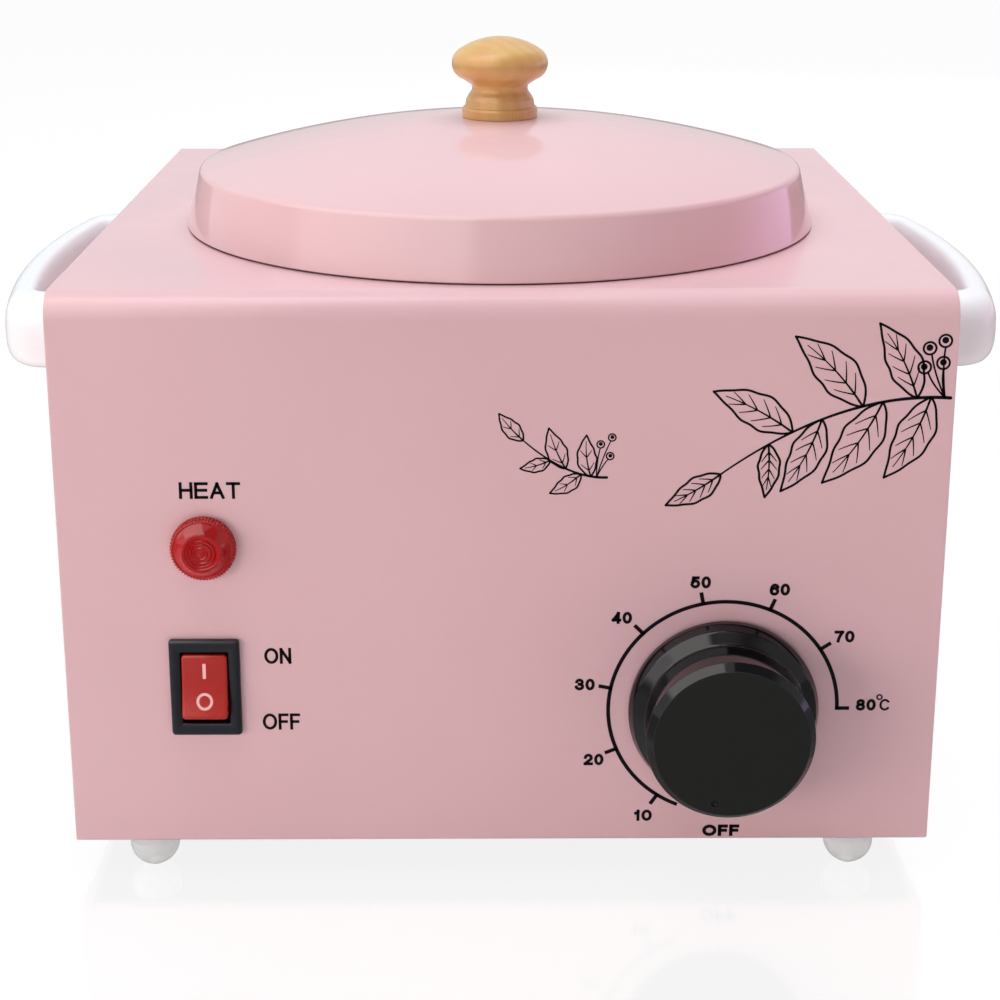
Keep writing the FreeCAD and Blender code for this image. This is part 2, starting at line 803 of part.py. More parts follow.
def make_handle(label, sign, turn):
    """Moulded bow handle: two legs on the side panel and a bar that bulges outward."""
    handle = body(label, (f"{sign} * {side_face}", f"{case_y} + {handle_middle}", handle_up), turn)
    half = "(HandleLength / 2)"
    shoulder = f"({half} - HandleSlant)"
    bulge = "(HandleReach - HandleShoulder)"
    bow = f"(({shoulder} ^ 2 + {bulge} ^ 2) / (2 * {bulge}))"
    window = f"({half} - HandleLeg)"
    window_bow = f"({bow} - HandleBar)"
    window_end = f"(HandleReach - {bow} + sqrt({window_bow} ^ 2 - {window} ^ 2))"
    grip = outline(handle, "XY_Plane", [
        ("0", f"-{half}"),
        ("HandleShoulder", f"-{shoulder}", bow, 1),
        ("HandleShoulder", shoulder),
        ("0", half),
    ])
    pad(handle, grip, "HandleHeight", "Symmetric")
    opening = outline(handle, "XY_Plane", [
        ("-HandleBar", f"-{window}"),
        (window_end, f"-{window}", window_bow, 1),
        (window_end, window),
        ("-HandleBar", window),
    ])
    pocket(handle, opening)

    def upright_at(across):
        """Chooser of the upright corners at this distance from the panel."""
        return lambda edge: along(edge, AXIS_Z) and near(middle_of(edge).x, across)

    def rim(edge):
        """Edges of the top and the bottom, but not those on the panel."""
        spot = middle_of(edge)
        return near(abs(spot.z), "HandleHeight / 2") and spot.x > value("PressGap")

    fillet(handle, "HandleCorner", upright_at("HandleShoulder"))
    fillet(handle, "WindowCorner", upright_at(window_end))
    fillet(handle, "HandleRound", rim)
    pilots = [(f"{way}{handle_screw_spread}", "0", "HandleScrewRadius + PressGap") for way in ("", "-")]
    pocket(handle, circles(handle, "YZ_Plane", pilots), "HandleScrewLength", backwards=True)


def make_handle_screws():
    """Screws from inside the housing, through the side panels, into the handle legs."""
    members = []
    for side, sign, turn in (("left", "-1", LEFTWARD), ("right", "1", RIGHTWARD)):
        for end, way in (("front", "-"), ("rear", "+")):
            spot = (f"{sign} * ({side_face} - SheetWall)",
                    f"{case_y} + {handle_middle} {way} {handle_screw_spread}", handle_up)
            members.append(screw(f"handle_screw_{side}_{end}", "HandleScrewRadius",
                                 "HandleScrewLength", "HandleScrewHead", "HandleScrewHeadHeight",
                                 spot, turn))
    grouped("handle_screws", members)


# ---- Heated well, pot and lid ----------------------------------------------------------------

def make_heating_well():
    """Deep-drawn aluminium cup that hangs by its flange in the top of the housing."""
    well = body("heating_well", ("0", axis_y, top))
    turned(well, [
        (well_outer, "0"),
        (well_rim, "0"),
        (well_rim, "WellWall"),
        (well_inner, "WellWall"),
        (well_inner, f"-{well_depth}"),
        ("0", f"-{well_depth}"),
        ("0", f"-{well_depth} - WellWall"),
        (well_outer, f"-{well_depth} - WellWall"),
    ])
    fillet(well, "PotCorner - WellWall", circle_at(well_inner, f"-{well_depth}"))
    fillet(well, "PotCorner", circle_at(well_outer, f"-{well_depth} - WellWall"))


def make_inner_pot():
    """Lift-out aluminium pot with a rolled rim that rests on the flange of the well."""
    pot = body("inner_pot", ("0", axis_y, f"{top} + WellWall + SeatGap"))
    inner = "(PotRadius - PotWall)"
    rim = "(PotRadius + PotRim)"
    bead = f"({rim} - BeadHeight)"
    turned(pot, [
        ("PotRadius", "0"),
        (rim, "0"),
        (rim, "BeadHeight"),
        (bead, "BeadHeight"),
        (bead, "PotWall"),
        (inner, "PotWall"),
        (inner, f"PotWall - {pot_depth}"),
        ("0", f"PotWall - {pot_depth}"),
        ("0", f"-{pot_depth}"),
        ("PotRadius", f"-{pot_depth}"),
    ])
    fillet(pot, "PotCorner", circle_at("PotRadius", f"-{pot_depth}"))
    fillet(pot, "PotCorner - PotWall", circle_at(inner, f"PotWall - {pot_depth}"))
    fillet(pot, "BeadRound", circle_at(rim, "BeadHeight"))
    fillet(pot, "BeadRound", circle_at(bead, "BeadHeight"))
    fillet(pot, "PotEdgeRound", circle_at(inner, "PotWall"))


dome_edge = f"({lid_radius} - SkirtTaper)"
dome_radius = f"(({dome_edge} ^ 2 + DomeRise ^ 2) / (2 * DomeRise))"
lid_base = f"({top} + LidGap)"
lid_apex = f"({lid_base} + SkirtHeight + DomeRise)"


def make_lid_shell():
    """Pressed sheet lid: a slightly tapered skirt, a tight shoulder and a shallow dome."""
    lid = body("lid_shell", ("0", axis_y, lid_base))
    inner_radius = f"({dome_radius} - LidWall)"
    inner_edge = f"({dome_edge} - LidWall)"
    centre = f"(SkirtHeight + DomeRise - {dome_radius})"
    turned(lid, [
        (lid_radius, "0"),
        (dome_edge, "SkirtHeight", dome_radius, 1),
        ("0", "SkirtHeight + DomeRise"),
        ("0", "SkirtHeight + DomeRise - LidWall", inner_radius, -1),
        (inner_edge, f"{centre} + sqrt({inner_radius} ^ 2 - {inner_edge} ^ 2)"),
        (f"{lid_radius} - LidWall", "0"),
    ])
    fillet(lid, "ShoulderRadius", circle_at(dome_edge, "SkirtHeight"))
    hole = circles(lid, "XY_Plane", [("0", "0", "GripScrewRadius + PanelHoleGap")])
    pocket(lid, hole)


def make_lid_knob():
    """Turned wooden knob: stepped foot, narrow neck and a rounded mushroom head."""
    knob = body("lid_knob", ("0", axis_y, lid_apex))
    hub = "(GripHead - GripRound)"
    crown_bow = f"(GripRound + {hub} / cos(GripCrownAngle))"
    turned(knob, [
        ("0", "0"),
        ("GripFoot", "0"),
        ("GripFoot", "GripFootHeight"),
        ("GripRing", "GripFootHeight"),
        ("GripRingTop", "GripRingHeight"),
        ("GripNeck", "GripNeckHeight"),
        (f"{hub} + GripRound * cos(GripChinAngle)",
         "GripHeadHeight - GripRound * sin(GripChinAngle)", "GripRound", 1),
        ("GripHead", "GripHeadHeight", "GripRound", 1),
        (f"{hub} + GripRound * cos(GripCrownAngle)",
         "GripHeadHeight + GripRound * sin(GripCrownAngle)", crown_bow, 1),
        ("0", f"GripHeadHeight - {hub} * tan(GripCrownAngle) + {crown_bow}"),
    ])
    fillet(knob, "GripFootRound", circle_at("GripFoot", "GripFootHeight"))
    fillet(knob, "GripNeckRound", circle_at("GripNeck", "GripNeckHeight"))
    pilot = circles(knob, "XY_Plane", [("0", "0", "GripScrewRadius + PressGap")])
    pocket(knob, pilot, "GripScrewLength", backwards=True)


def make_lid_fastener():
    """Screw and washer that hold the wooden knob from inside the lid."""
    hollow = f"({dome_radius} - LidWall)"
    under = f"({lid_apex} - LidWall - {hollow} + sqrt({hollow} ^ 2 - GripWasher ^ 2))"
    ring = cylinder("washer_disc", "GripWasher", "GripWasherWall")
    hole = cylinder("washer_hole", "GripScrewRadius + PanelHoleGap", "GripWasherWall")
    cut_from("lid_washer", ring, hole, ("0", axis_y, f"{under} - GripWasherWall"))
    screw("lid_knob_screw", "GripScrewRadius", "GripScrewLength", "GripScrewHead",
          "GripScrewHeadHeight", ("0", axis_y, f"{under} - GripWasherWall"), piece=True)


# ---- Heater and insulation -------------------------------------------------------------------

bulb_reach = f"({well_outer} + BulbRadius)"
bulb_x = f"({dial_x} - BulbFromDial)"
bulb_y = f"({axis_y} - sqrt({bulb_reach} ^ 2 - {bulb_x} ^ 2))"
bulb_angle = f"(-acos({bulb_x} / {bulb_reach}) / 1deg)"
bulb_low = f"({well_bottom} + PotCorner + BulbAboveCorner)"

pin_back = f"({axis_y} - HeaterPinForward)"
cutout_y = f"({axis_y} - CutoutForward)"


def make_heater():
    """Cast plate with the element inside, held under the well by a stud and a nut."""
    disc = cylinder("heater_disc", "HeaterRadius", "HeaterThick")
    bore = cylinder("heater_bore", "HeaterStud + PanelHoleGap", "HeaterThick")
    cut_from("heater_plate", disc, bore, ("0", axis_y, heater_bottom))
    stud = cylinder("heater_stud", "HeaterStud", "HeaterStudLength",
                    ("0", axis_y, f"{well_bottom} - HeaterStudLength"))
    pieces.append(stud)
    hex_nut("heater_nut", "NutFlats", "NutHeight", "HeaterStud + PressGap",
            ("0", axis_y, f"{heater_bottom} - NutHeight"))
    members = []
    for side, sign in (("left", "-1"), ("right", "1")):
        spot = (f"{sign} * HeaterPinSpread", pin_back, f"{heater_bottom} - HeaterPinLength")
        ceramic = cylinder(f"heater_pin_{side}", "HeaterPinRadius", "HeaterPinLength", spot)
        blade = box(f"heater_blade_{side}", "BladeWidth", "BladeWall", "BladeLength",
                    (spot[0], pin_back, f"{spot[2]} - BladeLength"))
        members.append(joined(f"heater_terminal_{side}", [ceramic, blade], piece=False))
    grouped("heater_terminals", members)


def make_insulation():
    """Ceramic-fibre sleeve round the well, open at the sensing bulb, and a pad under the heater."""
    sleeve = body("insulation_sleeve", ("0", axis_y, f"{heater_bottom}"))
    low = "HeaterThick + WellWall + PotCorner"
    high = f"{top} - SheetWall - SleeveBelowTop - {heater_bottom}"
    turned(sleeve, [(sleeve_inner, low), (sleeve_outer, low), (sleeve_outer, high),
                    (sleeve_inner, high)], "360 - SleeveGap")
    sleeve.setExpression("Placement.Rotation.Angle", named(f"{bulb_angle} + SleeveGap / 2"))
    cover = body("insulation_pad", ("0", axis_y, heater_bottom))
    pad(cover, circles(cover, "XY_Plane", [("0", "0", "HeaterRadius + PadOverhang")]), "PadThick",
        backwards=True)
    holes = [
        ("0", "0", "NutFlats / 2 / cos(30) + PadHoleGap"),
        ("CutoutRight", "-CutoutForward", "CutoutPlateLength / 2 + PadHoleGap"),
    ]
    holes += [(f"{sign} * HeaterPinSpread", "-HeaterPinForward", "HeaterPinRadius + PadHoleGap")
              for sign in ("-1", "1")]
    pocket(cover, circles(cover, "XY_Plane", holes))


def make_cutout():
    """Disc thermostat that cuts the heater off, on a small plate screwed under the heater."""
    plate = box("cutout_plate", "CutoutPlateLength", "CutoutPlateWidth", "SheetWall",
                ("0", "0", "0"))
    can = cylinder("cutout_can", "CutoutRadius", "CutoutHeight")
    blades = [box(f"cutout_blade_{side}", "BladeWall", "BladeWidth", "BladeLength",
                  (f"{sign} * CutoutBladeSpread", "0", "CutoutHeight"))
              for side, sign in (("left", "-1"), ("right", "1"))]
    whole = joined("cutout_whole", [plate, can] + blades, piece=False)
    holes = [cylinder(f"cutout_hole_{side}", "CutoutScrewRadius + RunningGap", "SheetWall",
                      (f"{sign} * CutoutScrewSpread", "0", "0"))
             for side, sign in (("left", "-1"), ("right", "1"))]
    cut_from("thermal_cutout", whole, joined("cutout_holes", holes, piece=False),
             ("CutoutRight", cutout_y, heater_bottom), DOWNWARD)
    members = [screw(f"cutout_screw_{side}", "CutoutScrewRadius", "SheetWall",
                     "CutoutScrewHead", "CutoutScrewHeadHeight",
                     (f"CutoutRight {sign} CutoutScrewSpread", cutout_y,
                      f"{heater_bottom} - SheetWall"))
               for side, sign in (("left", "-"), ("right", "+"))]
    grouped("cutout_screws", members)


# ---- Thermostat and dial ---------------------------------------------------------------------

dial_spot = (dial_x, front, "FootHeight + DialFromBottom")


def make_thermostat():
    """Capillary thermostat behind the front panel, its bush in the panel and two screws."""
    control = body("thermostat_body", dial_spot, FORWARD)
    case = rectangle(control, "XY_Plane", "-ControlWidth / 2", "ControlWidth / 2",
                     "-ControlHeight / 2", "ControlHeight / 2", "-SheetWall")
    pad(control, case, "ControlDepth", backwards=True)
    bush = circles(control, "XY_Plane", [("0", "0", "BushRadius")], "-SheetWall")
    pad(control, bush, "SheetWall + BushOut")
    pocket(control, circles(control, "XY_Plane", [("0", "0", "ShaftRadius + RunningGap")]))
    pilots = [(f"{sign} * ControlScrewSpread", "0", "ControlScrewRadius + PressGap")
              for sign in ("-1", "1")]
    pocket(control, circles(control, "XY_Plane", pilots, "-SheetWall"), "ControlScrewLength")
    fillet(control, "ControlCorner",
           lambda edge: along(edge, AXIS_Z) and near(abs(edge.Vertexes[0].Point.x), "ControlWidth / 2"))
    blades = [box(f"control_blade_{side}", "BladeWidth", "BladeWall", "BladeLength",
                  (f"{sign} * ControlBladeSpread", "0",
                   "-SheetWall - ControlDepth - BladeLength"))
              for side, sign in (("left", "-1"), ("right", "1"))]
    grouped("thermostat_terminals", blades, dial_spot, FORWARD)
    members = [screw(f"control_screw_{side}", "ControlScrewRadius", "ControlScrewLength",
                     "ControlScrewHead", "ControlScrewHeadHeight",
                     (f"{dial_x} {sign} ControlScrewSpread", front, dial_spot[2]), BACKWARD)
               for side, sign in (("left", "-"), ("right", "+"))]
    grouped("thermostat_screws", members)


def make_dial():
    """Spindle with a flat, and the hollow knob pushed onto it."""
    spindle = body("thermostat_shaft", dial_spot, FORWARD)
    pad(spindle, circles(spindle, "XY_Plane", [("0", "0", "ShaftRadius")], "-ShaftIn"),
        "ShaftIn + ShaftOut")
    flat = rectangle(spindle, "XY_Plane", "-2 * ShaftRadius", "2 * ShaftRadius",
                     "ShaftRadius - ShaftFlat", "2 * ShaftRadius", "ShaftOut")
    pocket(spindle, flat, "ShaftOut - BushOut - KnobGap")
    knob = body("thermostat_knob", dial_spot, FORWARD)
    cavity = "(KnobProjection - KnobWall)"
    hub_end = "(BushOut + KnobHubGap)"
    turned(knob, [
        ("KnobRadius", "KnobGap"),
        ("KnobRadius", "KnobFlangeHeight"),
        ("KnobShoulder", "KnobShoulderHeight"),
        ("KnobWaist", "KnobWaistHeight"),
        ("KnobCap", "KnobCapHeight"),
        ("KnobFace", "KnobProjection"),
        ("0", "KnobProjection"),
        ("0", hub_end),
        ("KnobHub", hub_end),
        ("KnobHub", cavity),
        ("KnobWaist - KnobWall", cavity),
        ("KnobWaist - KnobWall", "KnobWaistHeight"),
        ("KnobRadius - KnobWall", "KnobGap"),
    ])
    fillet(knob, "KnobFlangeRound", circle_at("KnobRadius", "KnobFlangeHeight"))
    fillet(knob, "KnobShoulderRound", circle_at("KnobShoulder", "KnobShoulderHeight"))
    bore = "(ShaftRadius + PressGap)"
    flat_up = "(ShaftRadius - ShaftFlat + PressGap)"
    flat_out = f"sqrt({bore} ^ 2 - {flat_up} ^ 2)"
    d_bore = outline(knob, "XY_Plane", [
        (f"-{bore}", "0", bore, 1),
        ("0", f"-{bore}", bore, 1),
        (bore, "0", bore, 1),
        (flat_out, flat_up),
        (f"-{flat_out}", flat_up, bore, 1),
    ])
    pocket(knob, d_bore, "ShaftOut + PressGap", backwards=True)
    dimple = circles(knob, "XY_Plane", [("0", "-KnobDimpleFromCentre", "KnobDimple")],
                     "KnobProjection")
    pocket(knob, dimple, "KnobDimple")


def make_bulb():
    """Sensing bulb upright on the wall of the well, in its clip, and the capillary to it."""
    bulb = cylinder("thermostat_bulb", "BulbRadius", "BulbLength", (bulb_x, bulb_y, bulb_low))
    pieces.append(bulb)
    clip = body("bulb_clip", (bulb_x, bulb_y, f"{bulb_low} + (BulbLength - ClipHeight) / 2"))
    inner = "(BulbRadius + RunningGap)"
    outer = f"({inner} + ClipWall)"
    strap = outline(clip, "XY_Plane", [
        ("-BulbRadius", f"-{outer}"),
        ("0", f"-{outer}", outer, 1),
        (outer, "0", outer, 1),
        ("0", outer),
        ("-BulbRadius", outer),
        ("-BulbRadius", inner),
        ("0", inner, inner, -1),
        (inner, "0", inner, -1),
        ("0", f"-{inner}"),
        ("-BulbRadius", f"-{inner}"),
    ])
    pad(clip, strap, "ClipHeight")
    clip.setExpression("Placement.Rotation.Angle", named(bulb_angle))
    control_under = "FootHeight + DialFromBottom - ControlHeight / 2"
    control_mid = f"({front} + SheetWall + ControlDepth / 2)"
    tube("capillary_tube", "CapillaryRadius", [
        (dial_x, control_mid, control_under),
        (dial_x, control_mid, f"{control_under} - WireRun"),
        (bulb_x, bulb_y, f"{control_under} - WireRun"),
        (bulb_x, bulb_y, bulb_low),
    ])


# ---- Lamp and switch -------------------------------------------------------------------------

def make_lamp():
    """Indicator lamp: ribbed lens, threaded body through the panel, and its nut."""
    spot = (lamp_x, front, "FootHeight + LampFromBottom")
    lens = body("lamp_lens", spot, FORWARD)
    turned(lens, [
        ("0", "0"),
        ("LampRadius", "0"),
        ("LampRadius", "LampRimHeight"),
        ("LampFace", "LampHeight"),
        ("0", "LampHeight"),
    ])
    fillet(lens, "LampRound", circle_at("LampRadius", "LampRimHeight"))
    fillet(lens, "LampRound", circle_at("LampFace", "LampHeight"))
    stem = cylinder("lamp_body", "LampStem", "LampStemLength",
                    (lamp_x, front, "FootHeight + LampFromBottom"), BACKWARD)
    pieces.append(stem)
    hex_nut("lamp_nut", "LampNutFlats", "LampNutHeight", "LampStem + PressGap",
            (lamp_x, f"{front} + SheetWall", "FootHeight + LampFromBottom"), BACKWARD)


switch_spot = (switch_x, front, "FootHeight + SwitchFromBottom")


def make_switch():
    """Panel rocker switch: bezel and body in one moulding, the rocker on two stub pivots."""
    housing = body("switch_housing", switch_spot, FORWARD)
    bezel = rectangle(housing, "XY_Plane", "-BezelWidth / 2", "BezelWidth / 2",
                      "-BezelHeight / 2", "BezelHeight / 2")
    pad(housing, bezel, "BezelProud")

    def bezel_rim(edge):
        return near(middle_of(edge).z, "BezelProud")

    fillet(housing, "BezelBevel", bezel_rim)
    case = rectangle(housing, "XY_Plane", "-SwitchBodyWidth / 2", "SwitchBodyWidth / 2",
                     "-SwitchBodyHeight / 2", "SwitchBodyHeight / 2")
    pad(housing, case, "SwitchBodyDepth", backwards=True)
    half_width = "(RockerWidth / 2 + RockerSideGap)"
    half_height = "(RockerHeight / 2 + RockerEndGap)"
    mouth = rectangle(housing, "XY_Plane", f"-{half_width}", half_width, f"-{half_height}",
                      half_height, "BezelProud")
    pocket(housing, mouth, "BezelProud + RockerWellDepth")
    pivots = circles(housing, "YZ_Plane", [("0", "-PivotDepth", "PivotRadius + RunningGap")])
    pocket(housing, pivots, "RockerWidth + 2 * RockerSideGap + 2 * PivotLength",
           side="Symmetric")

    rocker = body("switch_rocker", (switch_x, f"{front} + PivotDepth", switch_spot[2]), FORWARD)
    half = "(RockerHeight / 2)"
    end_up = "(RockerEnd + PivotDepth)"
    sag = "(RockerEnd - RockerMiddle)"
    hollow = f"(({half} ^ 2 + {sag} ^ 2) / (2 * {sag}))"
    paddle = outline(rocker, "YZ_Plane", [
        ("-RockerFoot / 2", "PivotDepth - RockerDepth"),
        ("RockerFoot / 2", "PivotDepth - RockerDepth"),
        (half, f"{end_up} - RockerEdge"),
        (half, end_up, hollow, -1),
        (f"-{half}", end_up),
        (f"-{half}", f"{end_up} - RockerEdge"),
    ])
    pad(rocker, paddle, "RockerWidth", "Symmetric")
    stubs = circles(rocker, "YZ_Plane", [("0", "0", "PivotRadius")])
    pad(rocker, stubs, "RockerWidth + 2 * PivotLength", "Symmetric")
    rocker.setExpression("Placement.Rotation.Angle", named("90 - RockerTilt"))

    blades = [box(f"switch_blade_{side}_{level}", "BladeWall", "BladeWidth", "BladeLength",
                  (f"{across} * SwitchBladeAcross", f"{up} * SwitchBladeUp",
                   "-SwitchBodyDepth - BladeLength"))
              for side, across in (("left", "-1"), ("right", "1"))
              for level, up in (("low", "-1"), ("high", "1"))]
    grouped("switch_terminals", blades, switch_spot, FORWARD)


# ---- Mains inlet -----------------------------------------------------------------------------

inlet_spot = (inlet_x, rear, "FootHeight + InletFromBottom")
inlet_pin_spots = [("-InletPinAcross", "-InletPinUp"), ("InletPinAcross", "-InletPinUp"),
                   ("0", "InletPinUp")]


def make_inlet():
    """Appliance inlet in the back panel, with three pins and two screws."""
    inlet = body("mains_inlet", inlet_spot, BACKWARD)
    half_width = "(InletFlangeWidth / 2)"
    half_height = "(InletFlangeHeight / 2)"
    flange = rectangle(inlet, "XY_Plane", f"-{half_width}", half_width, f"-{half_height}",
                       half_height)
    pad(inlet, flange, "InletProud")
    fillet(inlet, "InletFlangeCorner", lambda edge: along(edge, AXIS_Z))
    case = rectangle(inlet, "XY_Plane", "-InletBodyWidth / 2", "InletBodyWidth / 2",
                     "-InletBodyHeight / 2", "InletBodyHeight / 2")
    pad(inlet, case, "InletDepth", backwards=True)
    left = "-SocketWidth / 2"
    right = "SocketWidth / 2"
    high = "SocketHeight / 2"
    socket = outline(inlet, "XY_Plane", [
        (left, "-SocketHeight / 2"),
        (right, "-SocketHeight / 2"),
        (right, f"{high} - SocketCorner"),
        (f"{right} - SocketCorner", high),
        (f"{left} + SocketCorner", high),
        (left, f"{high} - SocketCorner"),
    ], "InletProud")
    pocket(inlet, socket, "SocketDepth")
    pin_holes = [rectangle(inlet, "XY_Plane",
                           f"{across} - InletPinWidth / 2", f"{across} + InletPinWidth / 2",
                           f"{up} - InletPinHeight / 2", f"{up} + InletPinHeight / 2")
                 for across, up in inlet_pin_spots]
    for hole in pin_holes:
        pocket(inlet, hole)
    screw_holes = [(f"{sign} * InletScrewSpread", "0", "InletScrewRadius + RunningGap")
                   for sign in ("-1", "1")]
    pocket(inlet, circles(inlet, "XY_Plane", screw_holes))
    pins = [box(f"inlet_pin_{number}", "InletPinWidth", "InletPinHeight",
                "InletPinOut + InletDepth + InletProud - SocketDepth + InletPinTail",
                (across, up, "-InletDepth - InletPinTail"))
            for number, (across, up) in enumerate(inlet_pin_spots)]
    grouped("inlet_pins", pins, inlet_spot, BACKWARD)
    members = [screw(f"inlet_screw_{side}", "InletScrewRadius", "InletScrewLength",
                     "InletScrewHead", "InletScrewHeadHeight",
                     (f"{inlet_x} {sign} InletScrewSpread", f"{rear} + InletProud", inlet_spot[2]),
                     FORWARD)
               for side, sign in (("left", "-"), ("right", "+"))]
    grouped("inlet_screws", members)


# ---- Wiring ----------------------------------------------------------------------------------

def make_wiring():
    """Leads between inlet, switch, thermostat, cut-out, heater and lamp, and the earth stud."""
    low = "(FootHeight + WireAboveBase)"
    middle = f"({low} + WireStep)"
    high = f"({middle} + WireStep)"
    switch_tail = f"({front} + SwitchBodyDepth + BladeLength)"
    switch_back = f"({switch_tail} + WireRun)"
    switch_low = f"({switch_spot[2]} - SwitchBladeUp)"
    switch_high = f"({switch_spot[2]} + SwitchBladeUp)"
    control_tail = f"({front} + SheetWall + ControlDepth + BladeLength)"
    inlet_back = f"({inlet_tail} - WireRun)"
    inlet_up = f"({inlet_spot[2]} - InletPinUp)"
    for label, sign in (("wire_live", "-"), ("wire_neutral", "+")):
        pin_x = f"{inlet_x} {sign} InletPinAcross"
        blade_x = f"{switch_x} {sign} SwitchBladeAcross"
        tube(label, "WireRadius", [
            (pin_x, inlet_tail, inlet_up),
            (pin_x, inlet_back, inlet_up),
            (pin_x, inlet_back, low),
            (blade_x, switch_back, low),
            (blade_x, switch_back, switch_low),
            (blade_x, switch_tail, switch_low),
        ])
    earth_top = "(FootHeight + EarthStudHeight)"
    earth_up = f"({inlet_spot[2]} + InletPinUp)"
    tube("wire_earth", "WireRadius", [
        (inlet_x, inlet_tail, earth_up),
        (inlet_x, earth_y, earth_up),
        (earth_x, earth_y, earth_up),
        (earth_x, earth_y, earth_top),
    ])
    screw("earth_stud", "EarthStudRadius", "EarthStudHeight + SheetWall", "EarthHead",
          "EarthHeadHeight", (earth_x, earth_y, "FootHeight - SheetWall"), piece=True)
    hex_nut("earth_nut", "EarthNutFlats", "EarthNutHeight", "EarthStudRadius + PressGap",
            (earth_x, earth_y, "FootHeight"))
    right_blade = f"({switch_x} + SwitchBladeAcross)"
    drop_x = f"({right_blade} + WireRun)"
    control_left = f"({dial_x} - ControlBladeSpread)"
    tube("wire_switched", "WireRadius", [
        (right_blade, switch_tail, switch_high),
        (right_blade, switch_back, switch_high),
        (drop_x, switch_back, switch_high),
        (drop_x, switch_back, middle),
        (control_left, switch_back, middle),
        (control_left, switch_back, dial_spot[2]),
        (control_left, control_tail, dial_spot[2]),
    ])
    control_right = f"({dial_x} + ControlBladeSpread)"
    control_back = f"({control_tail} + WireRun)"
    cutout_tail = f"({heater_bottom} - CutoutHeight - BladeLength)"
    heater_tail = f"({heater_bottom} - HeaterPinLength - BladeLength)"
    tube("wire_cutout", "WireRadius", [
        (control_right, control_tail, dial_spot[2]),
        (control_right, control_back, dial_spot[2]),
        (control_right, control_back, high),
        ("CutoutRight + CutoutBladeSpread", cutout_y, high),
        ("CutoutRight + CutoutBladeSpread", cutout_y, cutout_tail),
    ])
    tube("wire_heater_live", "WireRadius", [
        ("CutoutRight - CutoutBladeSpread", cutout_y, cutout_tail),
        ("CutoutRight - CutoutBladeSpread", cutout_y, high),
        ("HeaterPinSpread", pin_back, high),
        ("HeaterPinSpread", pin_back, heater_tail),
    ])
    left_blade = f"({switch_x} - SwitchBladeAcross)"
    return_back = f"({switch_back} + WireStep)"
    tube("wire_heater_neutral", "WireRadius", [
        (left_blade, switch_tail, switch_high),
        (left_blade, return_back, switch_high),
        (left_blade, return_back, high),
        ("-HeaterPinSpread", pin_back, high),
        ("-HeaterPinSpread", pin_back, heater_tail),
    ])
    blade_top = f"({switch_high} + BladeWidth / 2)"
    lead_back = f"({switch_tail} - BladeLength / 2)"
    lamp_up = "(FootHeight + LampFromBottom)"
    leads = [
        tube(f"lamp_lead_{side}", "WireRadius", [
            (f"{lamp_x} {sign} LampLeadSpread", f"{front} + LampStemLength", lamp_up),
            (f"{lamp_x} {sign} LampLeadSpread", lead_back, lamp_up),
            (f"{switch_x} {sign} SwitchBladeAcross", lead_back, f"{blade_top} + WireRun"),
            (f"{switch_x} {sign} SwitchBladeAcross", lead_back, blade_top),
        ], piece=False)
        for side, sign in (("left", "-"), ("right", "+"))
    ]
    grouped("lamp_leads", leads)


# ---- Build, check and write ------------------------------------------------------------------

make_casing_wrap()
make_side_panel("side_panel_left", "-1")
make_side_panel("side_panel_right", "1")
make_base_plate()
make_base_screws()
for foot_name, (foot_across, foot_back) in foot_spots.items():
    make_foot(foot_name, foot_across, foot_back)
make_handle("handle_left", "-1", Rotation(AXIS_Z, 180))
make_handle("handle_right", "1", Rotation())
make_handle_screws()
make_heating_well()
make_inner_pot()
make_lid_shell()
make_lid_knob()
make_lid_fastener()
make_heater()
make_insulation()
make_cutout()
make_thermostat()
make_dial()
make_bulb()
make_lamp()
make_switch()
make_inlet()
make_wiring()
doc.recompute()

for item in doc.Objects:
    if "Invalid" in item.State or "Error" in item.State:
        raise ValueError(f"{item.Name} failed: {item.State}")
os.makedirs("parts", exist_ok=True)
for item in pieces:
    shape = item.Shape
    if shape.isNull() or not shape.isValid() or not shape.Solids:
        raise ValueError(f"{item.Label} has no valid solid")
for item in pieces:
    item.Shape.exportStep(f"parts/{item.Label}.step")
print(f"{len(pieces)} sub-parts written")
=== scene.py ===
import math

import bmesh
import bpy
import numpy as np
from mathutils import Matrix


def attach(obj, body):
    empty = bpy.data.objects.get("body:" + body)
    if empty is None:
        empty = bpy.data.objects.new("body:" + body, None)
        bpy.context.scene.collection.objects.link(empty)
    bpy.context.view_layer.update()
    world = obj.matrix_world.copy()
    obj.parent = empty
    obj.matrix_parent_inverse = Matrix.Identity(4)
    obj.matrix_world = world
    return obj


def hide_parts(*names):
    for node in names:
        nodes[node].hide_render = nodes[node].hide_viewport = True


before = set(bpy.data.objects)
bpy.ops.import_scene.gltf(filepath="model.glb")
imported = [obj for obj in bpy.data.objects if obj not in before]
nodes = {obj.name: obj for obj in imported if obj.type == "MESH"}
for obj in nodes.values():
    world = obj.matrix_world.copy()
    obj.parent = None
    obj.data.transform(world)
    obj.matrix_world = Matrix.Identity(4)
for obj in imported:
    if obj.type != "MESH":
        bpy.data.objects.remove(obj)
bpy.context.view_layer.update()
bpy.context.scene.view_settings.view_transform = "Standard"

# ---- Camera ----
# A short telephoto view from a little above the lid, straight on to the front panel. The picture
# is shifted down, so the object stands low in the frame and its uprights stay almost parallel.

LENS = 70.56
PITCH = math.radians(15.715)
YAW = math.radians(0.339)
CAMERA_SPOT = (-0.0044, -0.7653, 0.3569)

